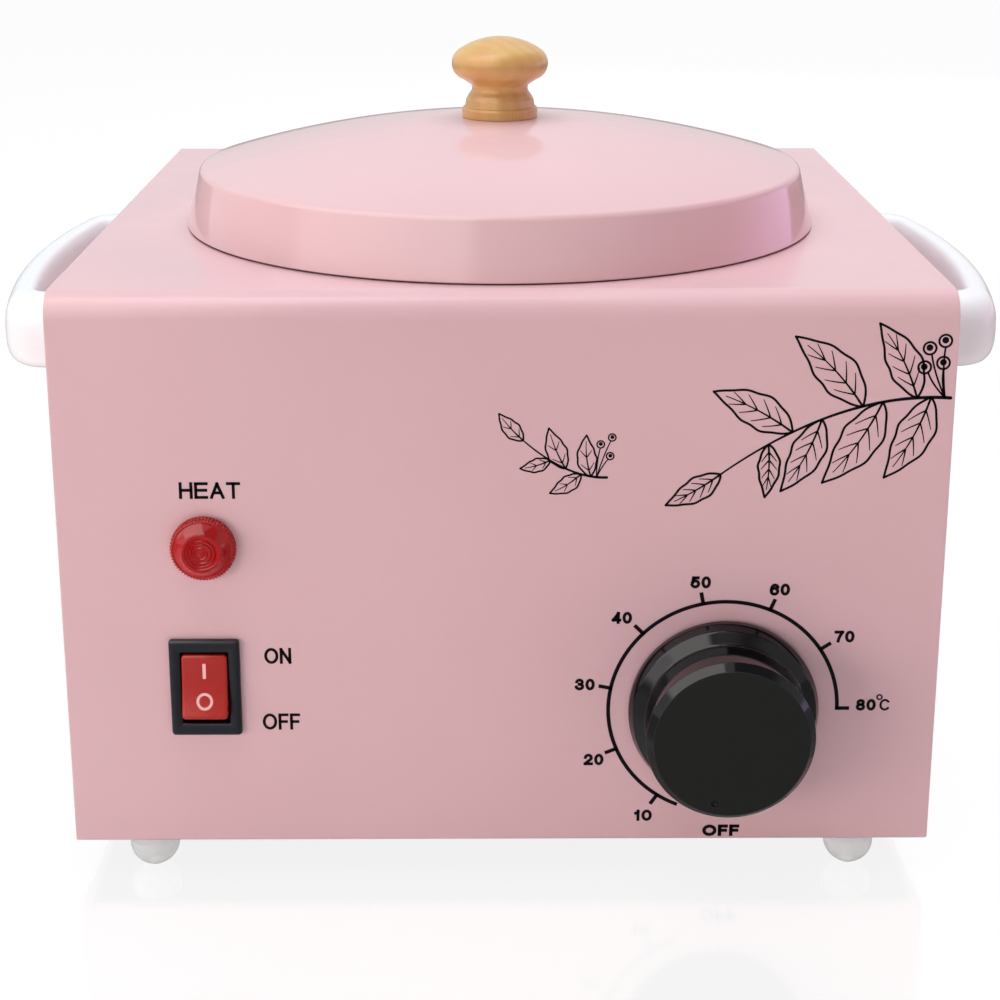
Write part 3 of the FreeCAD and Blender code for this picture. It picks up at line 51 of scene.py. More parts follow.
camera = bpy.data.objects.new("camera", bpy.data.cameras.new("camera"))
camera.data.lens = LENS
camera.data.sensor_width = 36
camera.data.shift_y = -0.12
camera.data.clip_end = 50
camera.location = CAMERA_SPOT
camera.rotation_euler = (math.pi / 2 - PITCH, 0, -YAW)
bpy.context.scene.collection.objects.link(camera)
bpy.context.scene.camera = camera

# ---- Floor, room and lamps ----
# A sheet of white glossy card, large enough to fill the view, in a white room. Four soft boxes
# light the object: a key low at the left, a pink fill at the right, a broad one above and one
# behind. What the enamel mirrors is the room: a window at the left, dim walls and a pale rear.


def linear(colour):
    """Linear RGBA of an sRGB hex colour: each channel through the sRGB curve."""
    channels = np.array([int(colour[i:i + 2], 16) for i in (1, 3, 5)]) / 255
    curve = np.where(channels > 0.04045, ((channels + 0.055) / 1.055) ** 2.4, channels / 12.92)
    return (*curve.tolist(), 1.0)


def add_node(tree, kind, inputs=None, **settings):
    """Adds a node with its settings and gives its outputs. An input that is given a socket is
    linked, any other is set."""
    node = tree.nodes.new("ShaderNode" + kind)
    for name, setting in settings.items():
        setattr(node, name, setting)
    for name, value in (inputs or {}).items():
        if isinstance(value, bpy.types.NodeSocket):
            tree.links.new(value, node.inputs[name])
        else:
            node.inputs[name].default_value = value
    return node.outputs


def new_material(name):
    """Material named for a finish, and its node tree, still empty."""
    material = bpy.data.materials.new(name)
    material.use_nodes = True
    material.node_tree.nodes.clear()
    return material, material.node_tree


# The card glows, by this share and strength, where the camera sees it. What mirrors it sees it
# dim, so that black parts stay black.
FLOOR_HALF = 8.0
CARD_WHITE = "#FFFFFF"
CARD_GLOSS, CARD_BLUR = 0.16, 0.12
CARD_GLOW, CARD_BRIGHT = 0.95, 1.08
CARD_MIRRORED = 0.22

card, tree = new_material("white glossy card")
paper = add_node(tree, "BsdfDiffuse", {"Color": linear(CARD_WHITE)})
glow = add_node(tree, "Emission", {"Color": linear(CARD_WHITE), "Strength": CARD_BRIGHT})
path = add_node(tree, "LightPath")
seen = add_node(tree, "Math", {0: path["Is Camera Ray"],
                               1: path["Is Transmission Ray"]}, operation="MAXIMUM")
seen = add_node(tree, "Math", {0: seen[0], 1: CARD_GLOW}, operation="MULTIPLY")
lit = add_node(tree, "MixShader", {0: seen[0], 1: paper[0], 2: glow[0]})
dim = add_node(tree, "Emission", {"Color": linear(CARD_WHITE), "Strength": CARD_MIRRORED})
lit = add_node(tree, "MixShader", {0: path["Is Glossy Ray"], 1: lit[0], 2: dim[0]})
shine = add_node(tree, "BsdfGlossy", {"Color": linear(CARD_WHITE), "Roughness": CARD_BLUR})
both = add_node(tree, "MixShader", {0: CARD_GLOSS, 1: lit[0], 2: shine[0]})
add_node(tree, "OutputMaterial", {"Surface": both[0]})

corners = [(-FLOOR_HALF, -FLOOR_HALF, 0), (FLOOR_HALF, -FLOOR_HALF, 0),
           (FLOOR_HALF, FLOOR_HALF, 0), (-FLOOR_HALF, FLOOR_HALF, 0)]
floor_mesh = bpy.data.meshes.new("floor")
floor_mesh.from_pydata(corners, [], [(0, 1, 2, 3)])
floor_mesh.materials.append(card)
floor = bpy.data.objects.new("floor", floor_mesh)
bpy.context.scene.collection.objects.link(floor)

# The even light that the room gives, the strength of its dim walls where they are mirrored, and
# its brighter parts: bearings in degrees from straight in front of the object towards its right,
# climbs in degrees from the horizon, the softness of the edge, the colour and the strength.
ROOM_LIGHT = 0.23
DIM_WALL = 0.18
ROOM_PARTS = [
    ((-200, 200), (-20, 38), 8.0, "#FFFFFF", 0.55),
    ((-200, 30), (46, 100), 5.0, "#FFFFFF", 0.90),
    ((-200, -76), (-20, 100), 3.0, "#FFFFFF", 0.90),
    ((-78, -10), (4, 24), 4.0, "#FFFBF8", 2.20),
    ((-100, -10), (24, 88), 4.0, "#FFFBF8", 2.98),
    ((78, 136), (-20, 6), 3.0, "#E7CEFF", 1.77),
    ((-200, 200), (84, 100), 2.0, "#FFFFFF", 3.0),
    ((136, 200), (-20, 100), 6.0, "#FFFFFF", 0.635),
    ((-200, -136), (-20, 100), 6.0, "#FFFFFF", 0.635),
]

room = bpy.data.worlds.new("white room")
room.use_nodes = True
bpy.context.scene.world = room
tree = room.node_tree
tree.nodes.clear()
way = add_node(tree, "TexCoord")
parts = add_node(tree, "SeparateXYZ", {0: way["Generated"]})
towards_camera = add_node(tree, "Math", {0: parts["Y"], 1: -1.0}, operation="MULTIPLY")
bearing = add_node(tree, "Math", {0: parts["X"], 1: towards_camera[0]}, operation="ARCTAN2")
bearing = add_node(tree, "Math", {0: bearing[0]}, operation="DEGREES")
climb = add_node(tree, "Math", {0: parts["Z"]}, operation="ARCSINE")
climb = add_node(tree, "Math", {0: climb[0]}, operation="DEGREES")
wall = (DIM_WALL, DIM_WALL, DIM_WALL, 1.0)
for bearings, climbs, soft, colour, strength in ROOM_PARTS:
    mask = 1.0
    for angle, (low, high) in ((bearing, bearings), (climb, climbs)):
        for limit, inside in ((low, 1.0), (high, 0.0)):
            border = add_node(tree, "MapRange", {
                "Value": angle[0], "From Min": limit - soft, "From Max": limit + soft,
                "To Min": 1.0 - inside, "To Max": inside}, interpolation_type="SMOOTHSTEP")
            inner = add_node(tree, "Math", {0: mask, 1: border[0]}, operation="MULTIPLY")
            mask = inner[0]
    panel = tuple(strength * channel for channel in linear(colour)[:3]) + (1.0,)
    wall = add_node(tree, "Mix", {0: mask, 6: wall, 7: panel}, data_type="RGBA")[2]
path = add_node(tree, "LightPath")
mirrored = add_node(tree, "Math", {0: path["Is Glossy Ray"],
                                   1: path["Is Transmission Ray"]}, operation="MAXIMUM")
even = (ROOM_LIGHT, ROOM_LIGHT, ROOM_LIGHT, 1.0)
lit = add_node(tree, "Mix", {0: mirrored[0], 6: even, 7: wall}, data_type="RGBA")
white = add_node(tree, "Mix", {0: path["Is Camera Ray"], 6: lit[2],
                               7: linear(CARD_WHITE)}, data_type="RGBA")
sky = add_node(tree, "Background", {"Color": white[2], "Strength": 1.0})
add_node(tree, "OutputWorld", {"Surface": sky[0]})

LAMP_TARGET = np.array([0.0, 0.0, 0.12])
# Each lamp's place and sizes in metres, its power in watts and its colour.
LAMPS = {
    "key lamp": ((-1.20, -0.95, 0.12), (1.0, 0.9), 16.9, "#FFF3EC"),
    "fill lamp": ((1.70, -0.10, 0.75), (0.9, 1.2), 8.2, "#FFBCCB"),
    "top lamp": ((-0.10, 0.10, 1.60), (1.8, 1.1), 29.0, "#F1FDFF"),
    "rear lamp": ((0.60, 2.00, 0.80), (1.0, 0.9), 12.0, "#FFFFFF"),
}
for lamp_name, (spot, size, power, colour) in LAMPS.items():
    light = bpy.data.lights.new(lamp_name, "AREA")
    light.shape = "RECTANGLE"
    light.size, light.size_y = size
    light.energy = power
    light.color = linear(colour)[:3]
    lamp = bpy.data.objects.new(lamp_name, light)
    lamp.location = spot
    aim = LAMP_TARGET - spot
    flat = math.hypot(aim[0], aim[1])
    lamp.rotation_euler = (math.atan2(flat, -aim[2]), 0, math.atan2(-aim[0], aim[1]))
    lamp.visible_glossy = False
    bpy.context.scene.collection.objects.link(lamp)

# ---- Housing: front, top and back ----
# One sheet of mild steel, 1 mm thick, bent into a wide arch with lips along its lower edges and
# stove-enamelled pale pink inside and out. The enamel rounds the sheet's cut edges a little and
# levels to a high gloss with a faint orange peel.

MM = 0.001
CASE_HALF_WIDTH = 150.0
CASE_FRONT = -143.4
CASE_REAR = 166.6
CASE_LOW = 13.0
CASE_TOP = 211.0
SHEET = 1.0
TOP_BEND = 9.0
LIP_WIDTH = 18.0
LIP_BEND = 2.0
EDGE_ROUND = 0.35
GUARD = 0.5


def rounded(corners, steps=12, guard=GUARD):
    """Path through corners (a, b, radius). Each corner becomes an arc of its radius that touches
    both of its sides, with a point just outside either end, so the flats beside it stay flat."""
    corners = np.array(corners, float)
    path = [corners[0, :2]]
    for before, corner, after in zip(corners, corners[1:], corners[2:]):
        spot, radius = corner[:2], corner[2]
        back = (before[:2] - spot) / np.linalg.norm(before[:2] - spot)
        on = (after[:2] - spot) / np.linalg.norm(after[:2] - spot)
        half = math.acos(np.clip(back @ on, -1, 1)) / 2
        if radius <= 0 or half > math.pi / 2 - 0.01:
            path.append(spot)
            continue
        reach = radius / math.tan(half)
        middle = spot + (back + on) / np.linalg.norm(back + on) * radius / math.sin(half)
        swing = np.linspace(half - math.pi / 2, math.pi / 2 - half, steps + 1)[:, None]
        bulge = (spot - middle) / np.linalg.norm(spot - middle)
        side = (on - back) / np.linalg.norm(on - back)
        path.append(spot + back * (reach + guard))
        path.extend(middle + radius * (np.cos(swing) * bulge + np.sin(swing) * side))
        path.append(spot + on * (reach + guard))
    path.append(corners[-1, :2])
    return np.array(path)


def skin(points, around=True, along=False, caps=False):
    """Corner list and faces of a grid of points [along, around, 3], closed where a way round comes
    back to its start, and with a flat face over each open end where caps is true."""
    rows, columns = points.shape[:2]
    grid = np.arange(rows * columns).reshape(rows, columns)
    ends = [grid[0].tolist()[::-1], grid[-1].tolist()] if caps else []
    if around:
        grid = np.hstack([grid, grid[:, :1]])
    if along:
        grid = np.vstack([grid, grid[:1]])
    quads = np.stack([grid[:-1, :-1], grid[:-1, 1:], grid[1:, 1:], grid[1:, :-1]], axis=-1)
    return points.reshape(-1, 3), quads.reshape(-1, 4).tolist() + ends


def make_mesh(name, skins, smooth):
    """Mesh in metres of skins in millimetres: their points merged where they meet, faces outward,
    smooth except where two faces meet at more than the angle."""
    points, faces, start = [], [], 0
    for corners, polygons in skins:
        points.append(corners)
        faces += [[start + index for index in polygon] for polygon in polygons]
        start += len(corners)
    mesh = bpy.data.meshes.new(name)
    mesh.from_pydata((np.concatenate(points) * MM).tolist(), [], faces)
    work = bmesh.new()
    work.from_mesh(mesh)
    bmesh.ops.remove_doubles(work, verts=work.verts, dist=1e-6)
    bmesh.ops.dissolve_degenerate(work, edges=work.edges, dist=1e-6)
    bmesh.ops.recalc_face_normals(work, faces=work.faces)
    work.to_mesh(mesh)
    work.free()
    shade(mesh, smooth)
    return mesh


def shade(mesh, smooth):
    """Smooth shading with sharp edges over an angle in degrees."""
    mesh.shade_smooth()
    mesh.set_sharp_from_angle(angle=math.radians(smooth))


def piece(name, skins, material, body, slot, *replaced, smooth=35):
    """Object of some skins that rides on a body, takes a finish and stands for CAD nodes.
    Its faces are smooth up to an angle in degrees. The slot is not used."""
    item = bpy.data.objects.new(name, make_mesh(name, skins, smooth))
    bpy.context.scene.collection.objects.link(item)
    item.data.materials.append(material)
    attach(item, body)
    if replaced:
        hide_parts(*replaced)
    return item


def cut(item, *tools, smooth):
    """Takes the skins of the tools, in millimetres, out of a piece."""
    cutter = bpy.data.objects.new("cutter", make_mesh("cutter", tools, smooth))
    bpy.context.scene.collection.objects.link(cutter)
    step = item.modifiers.new("holes", "BOOLEAN")
    step.operation = "DIFFERENCE"
    step.solver = "EXACT"
    step.object = cutter
    view = bpy.context.evaluated_depsgraph_get()
    mesh = bpy.data.meshes.new_from_object(item.evaluated_get(view))
    item.modifiers.clear()
    material = item.data.materials[0]
    item.data = mesh
    mesh.materials.clear()
    mesh.materials.append(material)
    shade(mesh, smooth)
    bpy.data.objects.remove(cutter)


UPWARD = np.eye(3)
FORWARD = np.array([[1.0, 0, 0], [0, 0, 1], [0, -1, 0]])
BACKWARD = np.array([[-1.0, 0, 0], [0, 0, 1], [0, 1, 0]])


def turned(profile, centre, axes=UPWARD, steps=128):
    """Grid of a profile (radius, height) carried round an axis through the centre."""
    profile = np.asarray(profile, float)
    angle = np.linspace(0, 2 * math.pi, steps, endpoint=False)
    radius = profile[:, :1]
    height = np.broadcast_to(profile[:, 1:2], (len(profile), steps))
    local = np.stack([radius * np.cos(angle), radius * np.sin(angle), height], axis=-1)
    return local @ axes + np.array(centre, float)


def drill(radius, centre, axes, low=-3.0, high=3.0):
    """Round plug along an axis, for a hole."""
    return skin(turned([(radius, low), (radius, high)], centre, axes, 96), caps=True)


def block(centre, half, axes=UPWARD):
    """Rectangular plug for a hole: half its sizes along the three axes."""
    ring = np.array([(-1, -1), (1, -1), (1, 1), (-1, 1)], float)
    low = np.column_stack([ring * half[:2], np.full(4, -half[2])])
    high = np.column_stack([ring * half[:2], np.full(4, half[2])])
    return skin(np.array([low, high]) @ axes + np.array(centre, float), caps=True)


def sheet_path(inset):
    """Section of the bent sheet at a depth under its outer face, from the front lip to the rear."""
    front, rear = CASE_FRONT + inset, CASE_REAR - inset
    low, high = CASE_LOW + inset, CASE_TOP - inset
    bend, lip = TOP_BEND - inset, LIP_BEND - inset
    return rounded([(CASE_FRONT + LIP_WIDTH, low, 0), (front, low, lip), (front, high, bend),
                    (rear, high, bend), (rear, low, lip), (CASE_REAR - LIP_WIDTH, low, 0)], 16)


NOISE_LOW, NOISE_HIGH = 0.3, 0.7


def finish(name, colour, shade_colour, tone, relief, gloss, shader):
    """Material of one pigment or metal whose noises read object coordinates. Each is its scale per
    metre, its detail and its roughness, and then what it does. tone blends the colours between
    its lowest and highest height, and relief bends the surface by its strength and its depth in
    metres. gloss lets the roughness wander from one value to the other, or is one roughness."""
    material, tree = new_material(name)
    place = add_node(tree, "TexCoord")["Object"]
    noises = (tone, relief, gloss) if isinstance(gloss, tuple) else (tone, relief)
    heights = [add_node(tree, "TexNoise", {
        "Vector": place, "Scale": scale, "Detail": detail,
        "Roughness": roughness})["Fac"] for scale, detail, roughness, *_ in noises]
    share = add_node(tree, "MapRange", {"Value": heights[0], "From Min": tone[3],
                                        "From Max": tone[4]})
    pigment = add_node(tree, "Mix", {0: share[0], 6: linear(colour),
                                     7: linear(shade_colour)}, data_type="RGBA")
    bent = add_node(tree, "Bump", {"Height": heights[1], "Strength": relief[3],
                                   "Distance": relief[4]})
    if isinstance(gloss, tuple):
        gloss = add_node(tree, "MapRange", {
            "Value": heights[2], "From Min": NOISE_LOW, "From Max": NOISE_HIGH,
            "To Min": gloss[3], "To Max": gloss[4]})[0]
    surface = add_node(tree, "BsdfPrincipled", {
        "Base Color": pigment[2], "Roughness": gloss, "Normal": bent[0], **shader})
    add_node(tree, "OutputMaterial", {"Surface": surface[0]})
    return material


def enamel(name, colour, shade_colour, gloss):
    """Stove enamel: a smooth glossy coat over an even pigment. Slow drifts of tone a hand wide and
    an orange peel of 2 to 3 mm keep the reflections from being perfect."""
    return finish(name, colour, shade_colour, (9.0, 2.0, 0.4, NOISE_LOW, NOISE_HIGH),
                  (380.0, 1.0, 0.5, 0.05, 0.0002),
                  (30.0, 3.0, 0.6, gloss * 0.8, gloss * 1.25), {"IOR": 1.52})


case_enamel = enamel("pink stove enamel on steel", "#DDB4B9", "#D9B0B6", 0.16)

WELL_X, WELL_Y = 0.0, -10.9
WELL_HOLE = 108.5
DIAL = (76.3, CASE_FRONT, 63.7)
LAMP = (-100.7, CASE_FRONT, 123.5)
SWITCH = (-102.0, CASE_FRONT, 72.5)
INLET = (-102.0, CASE_REAR, 53.0)
SWITCH_HOLE = (11.2, 15.4)
INLET_HOLE = (14.2, 10.9)
BUSH_HOLE = 5.2
LAMP_HOLE = 6.4
FOOT_X, FOOT_FRONT, FOOT_REAR = 124.0, -133.4, 156.6
FOOT_STEM = 2.45

outer_path, inner_path = sheet_path(0), sheet_path(SHEET)
quarter = np.linspace(0, math.pi / 2, 6)
before_edge = CASE_HALF_WIDTH - 2 * GUARD
edge_x = np.concatenate([[before_edge],
                         CASE_HALF_WIDTH - EDGE_ROUND + EDGE_ROUND * np.sin(quarter),
                         CASE_HALF_WIDTH - EDGE_ROUND + EDGE_ROUND * np.cos(quarter),
                         [before_edge]])
edge_depth = np.concatenate([[0], EDGE_ROUND * (1 - np.cos(quarter)),
                             SHEET - EDGE_ROUND * (1 - np.sin(quarter)), [SHEET]]) / SHEET
loop_x = np.concatenate([edge_x, -edge_x[::-1]])
loop_depth = np.concatenate([edge_depth, edge_depth[::-1]])
section = (outer_path[:, None] * (1 - loop_depth[None, :, None])
           + inner_path[:, None] * loop_depth[None, :, None])
across = np.broadcast_to(loop_x, section.shape[:2])
wrap_points = np.stack([across, section[..., 0], section[..., 1]], axis=-1)
casing = piece("casing", [skin(wrap_points, caps=True)], case_enamel, "housing", "housing_paint",
               "casing_wrap", smooth=25)
cut(casing,
    drill(WELL_HOLE, (WELL_X, WELL_Y, CASE_TOP), UPWARD),
    drill(BUSH_HOLE, DIAL, FORWARD),
    drill(LAMP_HOLE, LAMP, FORWARD),
    block(SWITCH, (*SWITCH_HOLE, 3.0), FORWARD),
    block(INLET, (*INLET_HOLE, 3.0), BACKWARD),
    *[drill(FOOT_STEM, (x, y, CASE_LOW), UPWARD)
      for x in (-FOOT_X, FOOT_X) for y in (FOOT_FRONT, FOOT_REAR)],
    smooth=25)

# ---- Housing: the two sides ----
# Flat panels of the same sheet, set half a millimetre in between the arch's edges and enamelled
# with it, so a fine shadow line runs round each side.


def dress(material, *names):
    """Gives CAD nodes that are right as they are their finish."""
    for name in names:
        nodes[name].material_slots[0].material = material


dress(case_enamel, "side_panel_left", "side_panel_right")

# ---- Heated well ----
# A cup deep-drawn from aluminium sheet, which hangs by its flange in the hole of the housing.
# Its wall keeps the fine rings of the drawing punch and of the brush that cleaned it.


BRUSHED = 0.72


def spun_aluminium(name, colour, shade_colour, centre, roughness, ring=0.9):
    """Aluminium finished on a lathe. The rings are a noise that changes along the radius and the
    height, a ring's width in millimetres to a cell, and hardly at all on the way round. The dull
    share under the brush's scratches scatters light like a paint."""
    material, tree = new_material(name)
    place = add_node(tree, "TexCoord")["Object"]
    local = add_node(tree, "VectorMath", {0: place, 1: tuple(np.array(centre) * MM)},
                     operation="SUBTRACT")
    parts = add_node(tree, "SeparateXYZ", {0: local[0]})
    flat = add_node(tree, "CombineXYZ", {"X": parts["X"], "Y": parts["Y"]})
    radius = add_node(tree, "VectorMath", {0: flat[0]}, operation="LENGTH")
    lathe = add_node(tree, "CombineXYZ", {"X": radius["Value"], "Z": parts["Z"]})
    rings = add_node(tree, "TexNoise", {"Vector": lathe[0], "Scale": 1 / (ring * MM),
                                        "Detail": 3.0, "Roughness": 0.6})
    cloud = add_node(tree, "TexNoise", {"Vector": place, "Scale": 25.0, "Detail": 3.0})
    tone = add_node(tree, "Mix", {0: cloud["Fac"], 6: linear(colour),
                                  7: linear(shade_colour)}, data_type="RGBA")
    relief = add_node(tree, "Bump", {"Height": rings["Fac"], "Strength": 0.25, "Distance": 0.0001})
    rough = add_node(tree, "MapRange", {
        "Value": rings["Fac"], "From Min": NOISE_LOW, "From Max": NOISE_HIGH,
        "To Min": roughness - 0.06, "To Max": roughness + 0.08})
    metal = add_node(tree, "BsdfPrincipled", {
        "Base Color": tone[2], "Metallic": BRUSHED, "Roughness": rough[0],
        "Normal": relief[0], "Anisotropic": 0.4})
    add_node(tree, "OutputMaterial", {"Surface": metal[0]})
    return material


WELL_OUTER, WELL_INNER, WELL_RIM = 108.0, 107.0, 114.0
WELL_TOP, WELL_UNDER, WELL_FLOOR = CASE_TOP + 1.0, 72.1, 73.1
WELL_CORNER = 12.0

drawn_aluminium = spun_aluminium("drawn aluminium", "#C9C9CA", "#B9BABC",
                                 (WELL_X, WELL_Y, CASE_TOP), 0.30)
well_profile = rounded([
    (0, WELL_UNDER, 0), (WELL_OUTER, WELL_UNDER, WELL_CORNER), (WELL_OUTER, CASE_TOP, 0.4),
    (WELL_RIM, CASE_TOP, 0.3), (WELL_RIM, WELL_TOP, 0.4), (WELL_INNER, WELL_TOP, 0.8),
    (WELL_INNER, WELL_FLOOR, WELL_CORNER - 1), (0, WELL_FLOOR, 0)], guard=0.2)
piece("well", [skin(turned(well_profile, (WELL_X, WELL_Y, 0), steps=192))], drawn_aluminium,
      "housing", "well_metal", "heating_well")

# ---- Wax pot ----
# The lift-out pot, spun from thicker aluminium with a beaded rim. It is brighter than the well,
# because it is polished inside so that wax comes away from it.

POT_OUTER, POT_INNER, POT_RIM, POT_BEAD = 104.0, 102.8, 113.0, 109.6
POT_UNDER, POT_FLOOR = 74.3, 75.5
POT_SEAT, POT_LEDGE, POT_TOP = 212.3, 213.5, 215.7
POT_CORNER = 12.0

spun_pot = spun_aluminium("polished spun aluminium", "#DADADC", "#CBCCCE",
                          (WELL_X, WELL_Y, CASE_TOP), 0.22, 0.6)
pot_profile = rounded([
    (0, POT_UNDER, 0), (POT_OUTER, POT_UNDER, POT_CORNER), (POT_OUTER, POT_SEAT, 0.8),
    (POT_RIM, POT_SEAT, 0.6), (POT_RIM, POT_TOP, 1.5), (POT_BEAD, POT_TOP, 1.5),
    (POT_BEAD, POT_LEDGE, 0.4), (POT_INNER, POT_LEDGE, 0.6),
    (POT_INNER, POT_FLOOR, POT_CORNER - 1.2), (0, POT_FLOOR, 0)], guard=0.1)
piece("pot", [skin(turned(pot_profile, (WELL_X, WELL_Y, 0), steps=192))], spun_pot, "pot",
      "pot_metal", "inner_pot")

# ---- Lid ----
# A shallow dome pressed from steel sheet with a tapered skirt, enamelled in the same pink. The
# press leaves a tight shoulder, and the skirt ends in a rounded edge just above the housing.

LID_EDGE, LID_LOW = 120.4, 211.6
LID_SHOULDER, LID_HIGH = 115.0, 233.0
LID_APEX = 250.497
LID_WALL = 0.9
LID_ROUND = 3.0
LID_HOLE = 2.4


def dome(radius, inset, steps=48):
    """Lid section from the screw hole outwards: a circle through the apex and the shoulder, its
    height the centre plus the root of its radius squared less the distance squared."""
    rise = LID_APEX - LID_HIGH
    bow = (LID_SHOULDER ** 2 + rise ** 2) / (2 * rise)
    reach = np.linspace(LID_HOLE, radius, steps)
    height = LID_APEX - bow + np.sqrt((bow - inset) ** 2 - reach ** 2)
    return np.column_stack([reach, height])


skirt_way = np.array([LID_EDGE - LID_SHOULDER, LID_LOW - LID_HIGH])
skirt_way /= np.linalg.norm(skirt_way)
skirt_in = np.array([skirt_way[1], -skirt_way[0]]) * LID_WALL
outer_dome = dome(LID_SHOULDER - 4, 0)
inner_dome = dome(LID_SHOULDER - 4, LID_WALL)
shoulder = np.array([LID_SHOULDER, LID_HIGH])
edge = np.array([LID_EDGE, LID_LOW])
inner_shoulder = shoulder + skirt_in - skirt_way * LID_WALL * 0.3
outer_skirt = rounded([(*outer_dome[-1], 0), (*shoulder, LID_ROUND), (*edge, 0.4),
                       (*(edge + skirt_in), 0.4), (*inner_shoulder, LID_ROUND - LID_WALL),
                       (*inner_dome[-1], 0)], guard=0.15)
lid_profile = np.concatenate([outer_dome, outer_skirt[1:-1], inner_dome[::-1]])
lid_enamel = enamel("pink stove enamel on the lid", "#DFB8BD", "#DBB3B8", 0.08)
piece("lid", [skin(turned(lid_profile, (WELL_X, WELL_Y, 0), steps=256), along=True)], lid_enamel,
      "lid", "lid_paint", "lid_shell", smooth=30)

# ---- Lid knob ----
# Turned on a lathe from one blank of a pale close-grained wood such as schima, with the grain
# upright, and dipped in clear lacquer. A screw through the lid holds it.


def arc(centre, radius, start=0.0, end=360.0, steps=28):
    """Points on a circle, or on an ellipse where the radius is a pair, between two angles in
    degrees."""
    angle = np.radians(np.linspace(start, end, steps))
    return np.array(centre) + np.array(radius) * np.column_stack([np.cos(angle), np.sin(angle)])


def lacquered_wood(name, pale, middle, dark, centre):
    """Pale hardwood under lacquer. Growth rings are shells round a pith beside the blank, bent by
    a slow noise, so they show as soft upright bands. Pores are short dark streaks, 0.25 mm wide
    and 5 mm long, and stain gathers in slow clouds."""
    material, tree = new_material(name)
    place = add_node(tree, "TexCoord")["Object"]
    local = add_node(tree, "VectorMath", {0: place, 1: tuple(np.array(centre) * MM)},
                     operation="SUBTRACT")
    stretched = add_node(tree, "Mapping", {"Vector": local[0], "Scale": (1, 1, 0.12)})
    bands = add_node(tree, "TexWave", {"Vector": stretched[0], "Scale": 60.0,
                                       "Distortion": 6.0, "Detail": 3.0, "Detail Scale": 1.2},
                     wave_type="RINGS", rings_direction="Z")
    clouds = add_node(tree, "TexNoise", {"Vector": stretched[0], "Scale": 70.0,
                                         "Detail": 3.0, "Roughness": 0.55})
    pores = add_node(tree, "Mapping", {"Vector": local[0], "Scale": (4000, 4000, 200)})
    streaks = add_node(tree, "TexNoise", {"Vector": pores[0], "Scale": 1.0, "Detail": 2.0})
    tone = linear(pale)
    for height, low, high, most, colour in ((bands, 0.0, 1.0, 0.38, middle),
                                            (clouds, 0.35, 0.7, 1.0, middle),
                                            (streaks, 0.58, 0.75, 0.35, dark)):
        share = add_node(tree, "MapRange", {"Value": height["Fac"], "From Min": low,
                                            "From Max": high, "To Max": most})
        tone = add_node(tree, "Mix", {0: share[0], 6: tone, 7: linear(colour)},
                        data_type="RGBA")[2]
    relief = add_node(tree, "Bump", {"Height": streaks["Fac"], "Strength": 0.08, "Distance": 0.0001})
    coat = add_node(tree, "BsdfPrincipled", {
        "Base Color": tone, "Roughness": 0.40, "IOR": 1.5, "Normal": relief[0],
        "Coat Weight": 0.8, "Coat Roughness": 0.26})
    add_node(tree, "OutputMaterial", {"Surface": coat[0]})
    return material


GRIP_FOOT, GRIP_RING, GRIP_NECK, GRIP_HEAD = 14.5, 13.3, 9.7, 18.4
GRIP_ROUND = 6.2
GRIP_HIGH = 20.2
CHIN, CROWN = -70.0, 55.0

head_centre = (GRIP_HEAD - GRIP_ROUND, GRIP_HIGH)
head_arc = arc(head_centre, GRIP_ROUND, CHIN, CROWN, 32)
crown_low = GRIP_HIGH + GRIP_ROUND * math.sin(math.radians(CROWN))
crown_out = head_centre[0] + GRIP_ROUND * math.cos(math.radians(CROWN))
crown_bow = crown_out / math.cos(math.radians(CROWN))
crown_centre = (0.0, crown_low - crown_bow * math.sin(math.radians(CROWN)))
crown_arc = arc(crown_centre, crown_bow, CROWN, 90, 24)
waist = rounded([(LID_HOLE, 0, 0), (GRIP_FOOT, -0.25, 0.3), (GRIP_FOOT, 3.6, 1.2),
                 (GRIP_RING, 3.9, 0.3), (12.9, 6.6, 1.2), (12.0, 8.2, 1.0),
                 (GRIP_NECK, 11.4, 2.2), (*head_arc[0], 0)], 10, guard=0.1)
grip_profile = np.concatenate([[(0, 0)], waist[:-1], head_arc, crown_arc[1:]])
grip_profile[-1, 0] = 0
PITH = (WELL_X + 30, WELL_Y + 22, LID_APEX)
grip_wood = lacquered_wood("lacquered pale hardwood", "#D1A867", "#C4904F", "#8E5B2B", PITH)
piece("grip", [skin(turned(grip_profile, (WELL_X, WELL_Y, LID_APEX)))], grip_wood, "lid",
      "knob_wood", "lid_knob")

# ---- Lid screw and washer ----
# A zinc-plated screw and washer under the lid. Zinc plate is a bluish silver, bright but a
# little uneven, because the bath leaves a faint mottle.


def plated(name, colour, shade_colour, roughness, mottle=3.0):
    """Zinc plate, or other bare metal: its tone and gloss wander over patches of a few mm."""
    bath = (1 / (mottle * MM), 3.0, 0.5)
    return finish(name, colour, shade_colour, (*bath, 0.0, 1.0), (*bath, 0.05, 0.0001),
                  (*bath, roughness * 0.8, roughness * 1.2), {"Metallic": 1.0})


zinc_fastener = plated("bright zinc plate", "#C6C8CC", "#AFB1B4", 0.28)
dress(zinc_fastener, "lid_knob_screw", "lid_washer")

# ---- Handles ----
# Two bows moulded in white phenolic, thick and soft-edged, screwed to the side panels from
# inside. Their section is a superellipse that bulges outwards from a spine near the window.

HANDLE_Y, HANDLE_Z = -26.4, 188.0
HANDLE_FACE = 149.5
HANDLE_HALF, HANDLE_WINDOW = 88.0, 64.0
HANDLE_REACH, HANDLE_SHOULDER, HANDLE_SLANT = 31.0, 22.0, 6.0
HANDLE_BAR, HANDLE_HEIGHT = 12.0, 26.0
HANDLE_CORNER, WINDOW_CORNER = 15.0, 7.0
WINDOW_SHOULDER = 13.36
ROUNDNESS, SPINE = 2.7, 0.36


